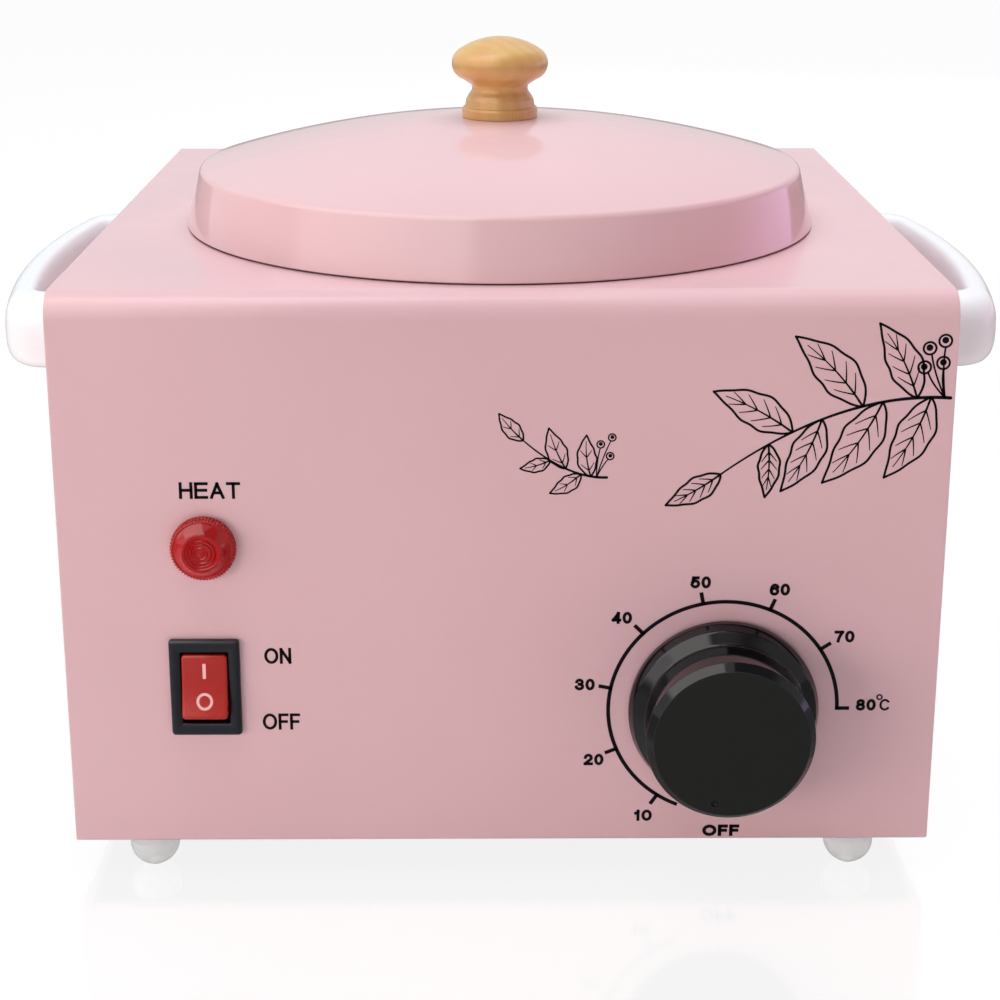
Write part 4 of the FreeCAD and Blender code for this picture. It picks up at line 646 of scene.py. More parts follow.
def moulded(name, colour, shade_colour, roughness, grain=0.6, depth=0.04):
    """Moulded plastic: even colour with slow flow marks, a fine texture from the tool and a
    gloss that wanders a little."""
    flow = (60.0, 2.0, 0.5)
    return finish(name, colour, shade_colour, (*flow, 0.0, 1.0),
                  (1 / (grain * MM), 2.0, 0.5, depth, 0.0001),
                  (*flow, roughness * 0.85, roughness * 1.15), {"IOR": 1.5})


def spread(path, marks):
    """Points on a path at shares of its length."""
    step = np.linalg.norm(np.diff(path, axis=0), axis=1)
    along = np.concatenate([[0], np.cumsum(step)])
    return np.column_stack([np.interp(marks * along[-1], along, path[:, axis])
                            for axis in range(2)])


def bow_path(half, corner_u, corner_v, reach, radius):
    """Plan of one face of a handle from leg to leg: out from the panel, round a corner and along
    an arc that reaches furthest in the middle."""
    rise = reach - corner_u
    bow = (corner_v ** 2 + rise ** 2) / (2 * rise)
    v = np.linspace(-corner_v, corner_v, 81)[1:-1]
    arch = np.column_stack([reach - bow + np.sqrt(bow ** 2 - v ** 2), v])
    corners = [(0, -half, 0), (corner_u, -corner_v, radius), (*arch[0], 0)]
    start = rounded(corners, 16, guard=0.05)
    inside = np.abs(arch[:, 1]) < abs(start[-2][1]) - 0.5
    end = start[::-1] * [1, -1]
    return np.concatenate([start[:-1], arch[inside], end[1:]])


outer_bow = bow_path(HANDLE_HALF, HANDLE_SHOULDER, HANDLE_HALF - HANDLE_SLANT, HANDLE_REACH,
                     HANDLE_CORNER)
inner_bow = bow_path(HANDLE_WINDOW, WINDOW_SHOULDER, HANDLE_WINDOW, HANDLE_REACH - HANDLE_BAR,
                     WINDOW_CORNER)
stations = (1 - np.cos(np.linspace(0, math.pi, 121))) / 2
outer_line = spread(outer_bow, stations)
inner_line = spread(inner_bow, stations)
width = np.linalg.norm(outer_line - inner_line, axis=1)[:, None]
across_bar = (outer_line - inner_line) / width
turn = np.linspace(0, 2 * math.pi, 72, endpoint=False)
bulge = np.sign(np.cos(turn)) * np.abs(np.cos(turn)) ** (2 / ROUNDNESS)
lift = np.sign(np.sin(turn)) * np.abs(np.sin(turn)) ** (2 / ROUNDNESS)
reach = np.where(bulge > 0, SPINE + (1 - SPINE) * bulge, SPINE + SPINE * bulge)
plan = inner_line[:, None] + across_bar[:, None] * (width * reach)[..., None]
heights = np.broadcast_to(HANDLE_Z + HANDLE_HEIGHT / 2 * lift, plan.shape[:2])
handle_white = moulded("white phenolic", "#EDEBEE", "#E7E5E9", 0.16)
for side, sign in (("left", -1), ("right", 1)):
    points = np.stack([sign * (HANDLE_FACE + np.maximum(plan[..., 0], 0)),
                       HANDLE_Y + plan[..., 1], heights], axis=-1)
    piece(f"handle_bow_{side}", [skin(points, caps=True)], handle_white, "housing",
          "handle_plastic", f"handle_{side}")
dress(zinc_fastener, "handle_screws")

# ---- Feet ----
# Four clear silicone domes whose barbed stems are pushed through the lips of the sheet. Their
# uneven skin and the bubbles under it make them look milky, so some light passes straight.

FOOT_RADIUS, FOOT_FLAT, FOOT_CROWN = 8.75, 2.5, 7.4
FOOT_SHANK, FOOT_BARB, FOOT_POINT = 2.4, 3.6, 1.2
FOOT_SEAT, FOOT_CATCH, FOOT_TIP = 12.0, 14.0, 18.0

foot_profile = np.concatenate([
    [(0, 0), (FOOT_FLAT, 0)],
    arc((0, FOOT_RADIUS), FOOT_RADIUS, -73, -2.5, 24),
    rounded([(FOOT_RADIUS, 9.0, 0), (FOOT_RADIUS, 10.4, 0.5), (FOOT_CROWN, FOOT_SEAT, 0.6),
             (FOOT_SHANK, FOOT_SEAT, 0), (FOOT_SHANK, FOOT_CATCH, 0),
             (FOOT_BARB, FOOT_CATCH + 0.05, 0.2), (FOOT_POINT, FOOT_TIP, 0.6),
             (0, FOOT_TIP, 0)], 6, guard=0.05)])
clear_silicone, tree = new_material("clear silicone rubber")
place = add_node(tree, "TexCoord")["Object"]
haze = add_node(tree, "TexNoise", {"Vector": place, "Scale": 320.0, "Detail": 2.0})
relief = add_node(tree, "Bump", {"Height": haze["Fac"], "Strength": 0.5, "Distance": 0.0008})
rubber = add_node(tree, "BsdfPrincipled", {
    "Base Color": linear("#F4F6F5"), "Roughness": 0.20, "IOR": 1.41,
    "Transmission Weight": 0.20, "Alpha": 0.45, "Normal": relief[0]})
add_node(tree, "OutputMaterial", {"Surface": rubber[0]})
for fore, foot_y in (("front", FOOT_FRONT), ("rear", FOOT_REAR)):
    for side, sign in (("left", -1), ("right", 1)):
        points = turned(foot_profile, (sign * FOOT_X, foot_y, 0), steps=64)
        piece(f"foot_dome_{fore}_{side}", [skin(points)], clear_silicone, "housing",
              "foot_silicone", f"foot_{fore}_{side}")

# ---- Prints on the front panel ----
# Lettering, the dial's scale and two leafy sprigs, screen-printed in one pass of black epoxy ink
# and baked with the enamel. The ink stands a few hundredths of a millimetre proud.

INK_PROUD, INK_SUNK = 0.04, 0.10


def on_panel(points, height):
    """Points (x, z) of the front panel at a height over it."""
    return np.stack([points[..., 0], np.full(points.shape[:-1], CASE_FRONT - height),
                     points[..., 1]], axis=-1)


ROUND_END = np.radians([30, 55, 75, 88])


def ink_line(path, half, ends="square", surface=on_panel):
    """Printed line along a path: to each side of it by the half width, square to its direction.
    Its ends reach on by a half width, and round ones narrow there as a half circle."""
    path = np.asarray(path, float)
    half = np.broadcast_to(np.asarray(half, float), len(path)).copy()
    closed = ends == "closed"
    if closed:
        way = np.roll(path, -1, axis=0) - np.roll(path, 1, axis=0)
    else:
        way = np.gradient(path, axis=0)
    way /= np.linalg.norm(way, axis=1)[:, None]
    if not closed:
        reach = np.sin(ROUND_END) if ends == "round" else np.ones(1)
        narrow = np.cos(ROUND_END) if ends == "round" else np.ones(1)
        start = path[0] - way[0] * half[0] * reach[::-1, None]
        stop = path[-1] + way[-1] * half[-1] * reach[:, None]
        half = np.concatenate([half[0] * narrow[::-1], half, half[-1] * narrow])
        path = np.concatenate([start, path, stop])
        way = np.concatenate([way[:1].repeat(len(reach), 0), way, way[-1:].repeat(len(reach), 0)])
    beside = np.column_stack([-way[:, 1], way[:, 0]]) * half[:, None]
    left, right = path + beside, path - beside
    rim = np.stack([surface(left, -INK_SUNK), surface(left, INK_PROUD),
                    surface(right, INK_PROUD), surface(right, -INK_SUNK)], axis=1)
    return skin(rim, along=closed, caps=not closed)


# Letters and figures as strokes in a box one wide and one high, with each one's width. A stroke
# that comes back to its start is closed.
OVAL = arc((0.5, 0.5), 0.5)
LETTERS = {
    "0": (1.0, [OVAL]),
    "1": (0.62, [[(0.8, 0), (0.8, 1)], [(0.8, 0.94), (0.55, 0.8), (0.1, 0.74)]]),
    "2": (1.0, [np.concatenate([arc((0.5, 0.7), (0.47, 0.3), 172, -28), [(0.04, 0.03)]]),
                [(0.0, 0), (1, 0)]]),
    "3": (1.0, [arc((0.5, 0.755), (0.43, 0.245), 168, -92),
                arc((0.5, 0.265), (0.5, 0.265), 92, -170)]),
    "4": (1.0, [[(0.76, 0), (0.76, 1)], [(0.76, 0.98), (0.38, 0.6), (0.02, 0.27)],
                [(0, 0.25), (1, 0.25)]]),
    "5": (1.0, [[(0.2, 1), (0.9, 1)], [(0.18, 0.96), (0.09, 0.52)],
                arc((0.48, 0.33), (0.52, 0.33), 146, -164)]),
    "6": (1.0, [arc((0.5, 0.32), (0.5, 0.32)), arc((0.55, 0.46), (0.55, 0.54), 200, 36)]),
    "7": (1.0, [[(0, 1), (1, 1)], [(0.97, 0.96), (0.66, 0.6), (0.46, 0.26), (0.38, 0)]]),
    "8": (1.0, [arc((0.5, 0.76), (0.42, 0.24)), arc((0.5, 0.27), (0.5, 0.27))]),
    "A": (1.1, [[(0.02, 0), (0.5, 0.98)], [(0.98, 0), (0.5, 0.98)], [(0.25, 0.33), (0.75, 0.33)]]),
    "C": (1.15, [arc((0.5, 0.5), 0.5, 42, 318)]),
    "E": (1.0, [[(0, 0), (0, 1)], [(0, 1), (1, 1)], [(0, 0.52), (0.94, 0.52)], [(0, 0), (1, 0)]]),
    "F": (0.88, [[(0, 0), (0, 1)], [(0, 1), (1, 1)], [(0, 0.5), (0.88, 0.5)]]),
    "H": (1.0, [[(0, 0), (0, 1)], [(1, 0), (1, 1)], [(0, 0.52), (1, 0.52)]]),
    "N": (1.02, [[(0, 0), (0, 1)], [(0.02, 0.97), (0.98, 0.03)], [(1, 0), (1, 1)]]),
    "O": (1.25, [OVAL]),
    "T": (1.03, [[(0, 1), (1, 1)], [(0.5, 0), (0.5, 1)]]),
}
LETTER_GAP = 0.11


def lettering(word, left, right, low, high, line):
    """Ink lines of a word that fills a box on the panel."""
    widths = [LETTERS[letter][0] for letter in word]
    unit = (right - left) / (sum(widths) + LETTER_GAP * (len(word) - 1))
    lines, edge = [], left
    for letter, share in zip(word, widths):
        room = np.array([share * unit - line, high - low - line])
        for path in LETTERS[letter][1]:
            placed = np.asarray(path, float) * room + [edge + line / 2, low + line / 2]
            closed = np.allclose(placed[0], placed[-1])
            lines.append(ink_line(placed[:-1], line / 2, "closed") if closed
                         else ink_line(placed, line / 2))
        edge += (share + LETTER_GAP) * unit
    return lines


SCALE_RADIUS, SCALE_SWEEP, SCALE_LINE = 39.6, 247, 1.35
TICK, TICK_STEP = 3.6, 33.75
# The sizes and the line of a figure, the share of the width that "10" takes, and how far each
# figure's middle stands from the dial's.
FIGURE, FIGURE_LINE, TEN_WIDTH = (6.95, 4.4), 1.1, 0.92
FIGURES = {"10": (-26.8, -40.9), "20": (-44.4, -19.3), "30": (-47.8, 9.1), "40": (-35.4, 33.8),
           "50": (-8.8, 46.7), "60": (18.2, 44.0), "70": (41.0, 26.7), "80": (49.6, 1.2)}


def printing_ink(name, colour, shade_colour):
    """Matt epoxy ink: dense, with the faint weave of the screen it came through, drawn at 0.3 mm,
    and hardly any shine."""
    screen = (1 / (0.3 * MM), 2.0, 0.5)
    return finish(name, colour, shade_colour, (*screen, 0.0, 1.0), (*screen, 0.1, 0.0001), 0.45,
                  {"Specular IOR Level": 0.15})


ink = printing_ink("black screen-printing ink", "#070507", "#0D090B")

# The ring of the degree sign, its place as it stands from the dial's middle.
DEGREE_SPOT, DEGREE_RADIUS, DEGREE_LINE = (54.2, 4.1), 0.85, 0.56
# Words with the box that each fills on the panel, from left to right and from low to high, and
# the width of its line.
SCALE_WORDS = [("C", 130.6, 134.4, 62.7, 67.1, 0.8), ("OFF", 70.6, 83.6, 14.6, 19.1, 1.25)]
PANEL_WORDS = [("HEAT", -108.2, -87.6, 140.7, 146.6, 1.05), ("ON", -81.6, -72.3, 80.8, 86.7, 1.03),
               ("OFF", -82.9, -69.9, 56.1, 62.2, 1.03)]

dial_middle = np.array([DIAL[0], DIAL[2]])
scale_lines = [ink_line(arc(dial_middle, SCALE_RADIUS, 0, SCALE_SWEEP, 160), SCALE_LINE / 2)]
for mark in range(len(FIGURES)):
    swing = math.radians(mark * TICK_STEP)
    outward = np.array([math.cos(swing), math.sin(swing)])
    scale_lines.append(ink_line([dial_middle + outward * SCALE_RADIUS,
                                 dial_middle + outward * (SCALE_RADIUS + TICK)], SCALE_LINE / 2))
for figure, offset in FIGURES.items():
    across, up = dial_middle + offset
    wide, high = np.array(FIGURE) / 2
    wide *= TEN_WIDTH if figure == "10" else 1.0
    scale_lines += lettering(figure, across - wide, across + wide, up - high, up + high,
                             FIGURE_LINE)
scale_lines.append(ink_line(arc(dial_middle + DEGREE_SPOT, DEGREE_RADIUS, 0, 345, 24),
                            DEGREE_LINE / 2, "closed"))
printed = {"dial_scale": (scale_lines, SCALE_WORDS), "panel_words": ([], PANEL_WORDS)}
for name, (lines, words) in printed.items():
    for word in words:
        lines += lettering(*word)
    piece(name, lines, ink, "housing", "black_plastic")


def curve(start, bend, end, steps):
    """Parabola from start to end that is pulled towards the bend."""
    start, bend, end = np.array([start, bend, end], float)
    share = np.linspace(0, 1, steps)[:, None]
    return (1 - share) ** 2 * start + 2 * share * (1 - share) * bend + share ** 2 * end


# A leaf's edge ripples by a share of its half width, this many half waves to its length. Its
# midrib and veins narrow between two shares of its line. The veins leave the midrib at shares of
# its length, run on by some steps of it and reach towards the edge.
LEAF_STEPS, LEAF_POWER = 48, 0.8
RIPPLE, RIPPLES = 0.05, 7
MIDRIB_STEPS, MIDRIB = 41, (0.5, 0.2)
VEIN_FIRST, VEIN_SPREAD, VEIN_STEPS, VEIN_LAST = 0.16, 0.6, 8, 44
VEIN_REACH, VEIN_SAG, VEIN = 0.72, 0.015, (0.36, 0.18)


def leaf(base, heading, length, width, sweep, line, veins):
    """Outline, midrib and side veins of a leaf. Its half width follows a sine of the length's
    power 0.8, so it is widest below the middle and runs out in a point."""
    heading = math.radians(heading)
    ahead = np.array([math.cos(heading), math.sin(heading)])
    aside = np.array([-ahead[1], ahead[0]])
    spine = curve(base, base + ahead * length * 0.5 + aside * sweep * length,
                  base + ahead * length, LEAF_STEPS)
    way = np.gradient(spine, axis=0)
    way /= np.linalg.norm(way, axis=1)[:, None]
    beside = np.column_stack([-way[:, 1], way[:, 0]])
    share = np.linspace(0, 1, LEAF_STEPS)
    half = width / 2 * np.sin(math.pi * share ** LEAF_POWER)
    lines = []
    for side in (1, -1):
        ripple = 1 + RIPPLE * np.sin(RIPPLES * math.pi * share + side)
        lines.append(ink_line(spine + beside * (side * half * ripple)[:, None], line / 2, "round"))
        for vein in range(veins):
            start = int(LEAF_STEPS * (VEIN_FIRST + VEIN_SPREAD * vein / veins))
            end = min(start + VEIN_STEPS, VEIN_LAST)
            target = spine[end] + beside[end] * side * half[end] * VEIN_REACH
            bend = (spine[start] + target) / 2 - way[start] * VEIN_SAG * length
            lines.append(ink_line(curve(spine[start], bend, target, 12),
                                  line * np.linspace(*VEIN, 12), "round"))
    lines.append(ink_line(spine[:MIDRIB_STEPS], line * np.linspace(*MIDRIB, MIDRIB_STEPS),
                          "round"))
    return lines


# A berry's stalk as a share of its line and its sag, its heart's size, line and drop as shares of
# the berry's radius, and a stem's thickness at its root and its tip as shares of the leaves' line.
STALK, STALK_SAG = 0.42, 0.5
HEART, HEART_LINE, HEART_LOW = 0.28, 0.26, 0.12
STEM = (0.75, 0.4)


def berries(root, spots, radius, line):
    """Berries on stalks that leave one root: a ring with a dark heart that sits low in it."""
    lines = []
    for spot in np.array(spots, float):
        away = (spot - root) / np.linalg.norm(spot - root)
        bend = (spot + root) / 2 + np.array([-away[1], away[0]]) * radius * STALK_SAG
        stalk = curve(root, bend, spot - away * radius, 14)
        heart = arc(spot + away * radius * HEART_LOW, radius * HEART, 0, 345, 24)
        lines += [ink_line(stalk, line * STALK, "round"),
                  ink_line(arc(spot, radius, 0, 345, 24), line / 2, "closed"),
                  ink_line(heart, radius * HEART_LINE, "closed")]
    return lines


def sprig(stem, leaves, length, width, line, veins):
    """Branch: a tapering stem with leaves (share of the stem, heading, size, sweep)."""
    lines = [ink_line(stem, line * np.linspace(*STEM, len(stem)), "round")]
    for share, heading, size, sweep in leaves:
        base = stem[int(share * (len(stem) - 1))]
        lines += leaf(base, heading, length * size, width * size, sweep, line, veins)
    return lines


# Both sprigs: the stem's start, bend, end and steps, its leaves, their length, width, line and
# veins, and the berries' root, spots, radius and line.
SPRIGS = {
    "large_sprig": (((148.4, 175.5), (112, 178), (73, 149), 80),
                    [(0.16, 118, 0.90, -0.10), (0.40, 134, 1.04, -0.10), (0.70, 152, 0.94, -0.08),
                     (0.10, 243, 0.98, 0.10), (0.31, 236, 1.06, 0.10), (0.57, 243, 0.88, 0.10),
                     (0.80, 268, 0.58, 0.08), (1.0, 211, 0.66, 0.06)], (32.0, 12.4, 0.80, 4),
                    ((146.5, 175.6), [(145.3, 187.5), (140.6, 192.5), (145.6, 195.0),
                                      (139.2, 186.0)], 2.1, 0.75)),
    "small_sprig": (((35.0, 148.0), (22, 147.5), (7, 161), 50),
                    [(0.22, 96, 1.0, 0.10), (0.52, 112, 1.05, 0.08), (0.34, 213, 0.85, 0.10),
                     (0.70, 196, 0.72, 0.10), (1.0, 131, 0.85, 0.06)], (14.5, 6.4, 0.62, 2),
                    ((31.5, 147.8), [(36.0, 155.5), (32.8, 159.6), (36.6, 162.0)], 1.25, 0.5)),
}
for name, (stem, leaves, leaf_sizes, fruit) in SPRIGS.items():
    lines = sprig(curve(*stem), leaves, *leaf_sizes) + berries(*fruit)
    piece(name, lines, ink, "housing", "black_plastic")

# ---- Thermostat dial ----
# A hollow knob moulded in black phenolic: a stepped flange, a waisted wall to grip and a cap
# with a bevelled edge. The mould is polished, except for the face, which is spark-eroded satin.

KNOB_FACE, KNOB_ROOF, KNOB_FLOOR = 28.0, 25.8, 0.6
KNOB_BORE, KNOB_BORE_DEPTH, KNOB_BORE_LOW = 3.02, 17.0, 4.2
KNOB_HUB, KNOB_HOLLOW = 6.5, 25.2
FLANGE_RADIUS, FLANGE_TOP = 32.8, 9.4
knob_profile = rounded([
    (0, KNOB_BORE_DEPTH, 0), (KNOB_BORE, KNOB_BORE_DEPTH, 0), (KNOB_BORE, KNOB_BORE_LOW, 0.3),
    (KNOB_HUB, KNOB_BORE_LOW, 0.5), (KNOB_HUB, KNOB_ROOF, 0.5), (KNOB_HOLLOW, KNOB_ROOF, 1.0),
    (KNOB_HOLLOW, FLANGE_TOP, 0), (30.6, KNOB_FLOOR, 0), (FLANGE_RADIUS, KNOB_FLOOR, 0.3),
    (FLANGE_RADIUS, 3.0, 1.0), (31.4, 6.6, 1.5), (27.4, FLANGE_TOP, 1.6), (28.4, 25.2, 0.5),
    (26.1, KNOB_FACE, 0.5), (0, KNOB_FACE, 0)], 10, guard=0.08)


def phenolic(name, wall_colour, face_colour, face_depth):
    """Black phenolic from a polished mould whose face was spark-eroded: mirror-like where it
    stands behind the face and satin, with a 0.25 mm texture, on the face."""
    material, tree = new_material(name)
    place = add_node(tree, "TexCoord")["Object"]
    parts = add_node(tree, "SeparateXYZ", {0: place})
    satin = add_node(tree, "MapRange", {"Value": parts["Y"], "From Min": (face_depth + 0.25) * MM,
                                        "From Max": (face_depth + 0.05) * MM})
    tone = add_node(tree, "Mix", {0: satin[0], 6: linear(wall_colour),
                                  7: linear(face_colour)}, data_type="RGBA")
    texture = add_node(tree, "TexNoise", {"Vector": place, "Scale": 1 / (0.25 * MM),
                                          "Detail": 2.0})
    flow = add_node(tree, "TexNoise", {"Vector": place, "Scale": 60.0, "Detail": 2.0})
    height = add_node(tree, "Math", {0: texture["Fac"], 1: satin[0]}, operation="MULTIPLY")
    relief = add_node(tree, "Bump", {"Height": height[0], "Strength": 0.2, "Distance": 0.0001})
    polish = add_node(tree, "MapRange", {"Value": flow["Fac"], "From Min": NOISE_LOW,
                                         "From Max": NOISE_HIGH, "To Min": 0.04, "To Max": 0.07})
    rough = add_node(tree, "Mix", {0: satin[0], 2: polish[0], 3: 0.42})
    resin = add_node(tree, "BsdfPrincipled", {
        "Base Color": tone[2], "Roughness": rough[0], "IOR": 1.55,
        "Normal": relief[0], "Specular IOR Level": 0.36})
    add_node(tree, "OutputMaterial", {"Surface": resin[0]})
    return material


knob_black = phenolic("black phenolic, polished and satin", "#08070B", "#121211",
                      CASE_FRONT - KNOB_FACE)
dial = piece("dial", [skin(turned(knob_profile, DIAL, FORWARD, 160))], knob_black, "dial",
             "black_plastic", "thermostat_knob", smooth=28)
DIMPLE, DIMPLE_DEPTH, DIMPLE_SPOT = 1.4, 0.9, (-5.2, -21.6)
dimple_profile = rounded([(0, -DIMPLE_DEPTH, 0), (DIMPLE * 0.8, -DIMPLE_DEPTH, 0.4),
                          (DIMPLE, 2, 0)], 6)
dimple_cut = skin(turned(dimple_profile, (DIAL[0] + DIMPLE_SPOT[0], CASE_FRONT - KNOB_FACE,
                                          DIAL[2] + DIMPLE_SPOT[1]), FORWARD, 40), caps=True)
cut(dial, dimple_cut, smooth=28)

# ---- Pilot lamp ----
# A lens moulded in clear red acrylic with a knurled rim, a deep cone and a raised eye of fine
# rings, clipped through the panel over a white nylon holder with a small neon bulb.

KNURLS, KNURL_STEPS, KNURL_DEPTH = 60, 6, 0.022

# Each row's radius, its height over the panel and the share of the knurls' depth that it has.
lens_rows = np.array([
    (11.0, 0.0, 0), (11.2, 0.3, 1), (11.2, 2.6, 1), (10.8, 3.3, 1), (10.2, 3.5, 0.3),
    (9.7, 3.4, 0), (9.3, 3.6, 0), (6.9, 6.3, 0), (6.6, 6.9, 0), (6.2, 7.0, 0),
    (5.7, 6.9, 0), (5.3, 6.5, 0), (4.9, 6.5, 0), (4.6, 6.85, 0), (4.3, 6.5, 0),
    (3.7, 6.45, 0), (3.4, 6.8, 0), (3.1, 6.45, 0), (2.3, 6.4, 0), (2.0, 6.7, 0),
    (1.7, 6.4, 0), (0.8, 6.45, 0), (0.0, 6.8, 0)])
lens_points = turned(lens_rows[:, :2], (0, 0, 0), steps=KNURLS * KNURL_STEPS)
round_knurls = np.linspace(0, 2 * math.pi * KNURLS, KNURLS * KNURL_STEPS, endpoint=False)
knurl = 1 - KNURL_DEPTH * (1 - np.cos(round_knurls)) * lens_rows[:, 2:]
lens_points[..., :2] *= knurl[..., None]
lens_points = lens_points @ FORWARD + np.array(LAMP)
haze = (400.0, 2.0, 0.5)
red_acrylic = finish("clear red acrylic", "#DC1A1E", "#C21318", (*haze, 0.0, 1.0),
                     (*haze, 0.1, 0.0003), 0.06, {"IOR": 1.49, "Transmission Weight": 0.40})
piece("lens", [skin(lens_points, caps=True)], red_acrylic, "housing", "lamp_red", "lamp_lens",
      smooth=30)

# ---- Rocker switch: bezel ----
# A snap-in housing of black nylon with a flat frame round the well in which the rocker tips.

BEZEL = (12.1, 17.7, 1.2)
BEZEL_PROUD = 2.2
SWITCH_WELL = (8.1, 13.1)
SWITCH_WELL_DEPTH, SWITCH_DEPTH = 12.0, 24.0
SWITCH_BODY = (10.8, 15.0, 0.8)


def rounded_rectangle(half_width, half_height, radius, steps=6):
    """Ring of points: four corner arcs, the same number whatever the sizes."""
    corners = []
    for start, across, up in ((0, 1, 1), (90, -1, 1), (180, -1, -1), (270, 1, -1)):
        centre = (across * (half_width - radius), up * (half_height - radius))
        corners.append(arc(centre, radius, start, start + 90, steps))
    return np.concatenate(corners)


def lofted(rings, centre, axes):
    """Grid through rounded rectangles (half width, half height, corner radius, height)."""
    rows = [np.column_stack([rounded_rectangle(*ring[:3]), np.full(24, ring[3])])
            for ring in rings]
    return np.array(rows) @ axes + np.array(centre, float)


switch_black = moulded("black nylon", "#161924", "#11131D", 0.36, 0.35, 0.10)
bezel_rings = [
    (*SWITCH_BODY, -SWITCH_DEPTH), (*SWITCH_BODY, 0.0),
    (12.0, 17.6, 1.1, 0.0), (*BEZEL, 0.2), (*BEZEL, 1.1),
    (11.9, 17.5, 1.1, 1.7), (11.5, 17.1, 0.9, 2.05), (10.9, 16.5, 0.7, BEZEL_PROUD),
    (8.8, 13.8, 0.6, 1.9), (8.4, 13.4, 0.5, 1.75), (8.2, 13.2, 0.4, 1.5),
    (*SWITCH_WELL, 0.4, 1.2), (*SWITCH_WELL, 0.4, BEZEL_PROUD - SWITCH_WELL_DEPTH)]
piece("switch_bezel", [skin(lofted(bezel_rings, SWITCH, FORWARD), caps=True)], switch_black,
      "housing", "control_plastic", "switch_housing")

# ---- Rocker switch: rocker ----
# The rocker is moulded in red polycarbonate, with a dished face and soft edges. It lies with its
# upper end pressed in.

ROCKER_HALF, ROCKER_REACH = 7.75, 11.4
ROCKER_UNDER, ROCKER_HEEL = (7, -4), 4.2
ROCKER_END, ROCKER_SAG, ROCKER_EDGE = 8.4, 1.2, 1.1
ROCKER_SHRINK = np.array([ROCKER_REACH, 6.5])
FACE_EDGE, FACE_HALF = 9.5, 9.3
PIVOT_DEPTH = 4.0
ROCKER_TILT = math.radians(9)
PIVOT = (SWITCH[0], CASE_FRONT + PIVOT_DEPTH, SWITCH[2])
tilt = np.array([[1, 0, 0], [0, math.cos(ROCKER_TILT), math.sin(ROCKER_TILT)],
                 [0, -math.sin(ROCKER_TILT), math.cos(ROCKER_TILT)]])
dish = (ROCKER_REACH ** 2 + ROCKER_SAG ** 2) / (2 * ROCKER_SAG)


def rocker_face(along):
    """Height of the dished face over the pivot: a circle that is lowest in the middle."""
    return ROCKER_END - ROCKER_SAG + dish - np.sqrt(dish ** 2 - np.asarray(along) ** 2)


def rocker_place(across, along, height):
    """Point of the tilted rocker in the object's frame."""
    local = np.stack(np.broadcast_arrays(across, along, height), axis=-1).astype(float)
    return local @ tilt.T @ FORWARD + np.array(PIVOT)


side_path = rounded([(-ROCKER_UNDER[0], ROCKER_UNDER[1], 0), (*ROCKER_UNDER, 1.0),
                     (ROCKER_REACH, ROCKER_HEEL, 2.0), (ROCKER_REACH, ROCKER_END, ROCKER_EDGE),
                     (FACE_EDGE, rocker_face(FACE_EDGE), 0)], 8, guard=0.1)
face_line = np.linspace(FACE_HALF, -FACE_HALF, 33)
face_path = np.column_stack([face_line, rocker_face(face_line)])
section = np.concatenate([side_path[:-1], face_path, (side_path * [-1, 1])[:0:-1]])
middle = section.mean(axis=0)
away = section - middle
inset_rows = [(-ROCKER_HALF, ROCKER_EDGE * 0.9), (-ROCKER_HALF + 0.08, ROCKER_EDGE * 0.55),
              (-ROCKER_HALF + 0.35, ROCKER_EDGE * 0.2), (-ROCKER_HALF + ROCKER_EDGE, 0)]
inset_rows += [(-across, inset) for across, inset in inset_rows[::-1]]
rows = []
for across, inset in inset_rows:
    along, height = (middle + away * (1 - inset / ROCKER_SHRINK)).T
    rows.append(rocker_place(across, along, height))
rocker_red = moulded("red polycarbonate", "#AE2119", "#A61C15", 0.28, 0.5, 0.03)
piece("rocker", [skin(np.array(rows), caps=True)], rocker_red, "rocker", "red_plastic",
      "switch_rocker", smooth=40)

# ---- Rocker switch: marks ----
# The line and the ring for on and off, pad-printed in a pale ink on the dished face.

MARK_LINE, MARK_LOW, MARK_HIGH = 1.15, 2.9, 8.3
RING_SPOT, RING_OUTER, RING_LINE = -5.1, (2.85, 3.0), 0.95


def on_rocker(points, height):
    """Points (across, along) of the rocker's face at a height over it."""
    return rocker_place(points[..., 0], points[..., 1], rocker_face(points[..., 1]) + height)


pale_ink = printing_ink("pale pad-printing ink", "#F4BEBC", "#EDB2B0")
line_path = np.column_stack([np.zeros(12), np.linspace(MARK_LOW + MARK_LINE / 2,
                                                       MARK_HIGH - MARK_LINE / 2, 12)])
ring_path = arc((0, RING_SPOT), np.array(RING_OUTER) - RING_LINE / 2, 0, 350, 48)
piece("rocker_marks", [ink_line(line_path, MARK_LINE / 2, "square", on_rocker),
                       ink_line(ring_path, RING_LINE / 2, "closed", on_rocker)],
      pale_ink, "rocker", "lamp_white")

# ---- Mains inlet ----
# An appliance inlet moulded in black nylon, with a socket for the usual six-sided plug. Two
# pan-head screws hold its flange to the back.

FLANGE = (25.0, 15.5, 4.0)
FLANGE_PROUD = 3.0
INLET_BODY, INLET_DEPTH = (13.8, 10.5, 0.8), 20.0
SOCKET = (12.1, 8.3)
SOCKET_CHAMFER, SOCKET_DEPTH = 4.0, 17.0
INLET_SCREW_X = (INLET[0] - 20.0, INLET[0] + 20.0)

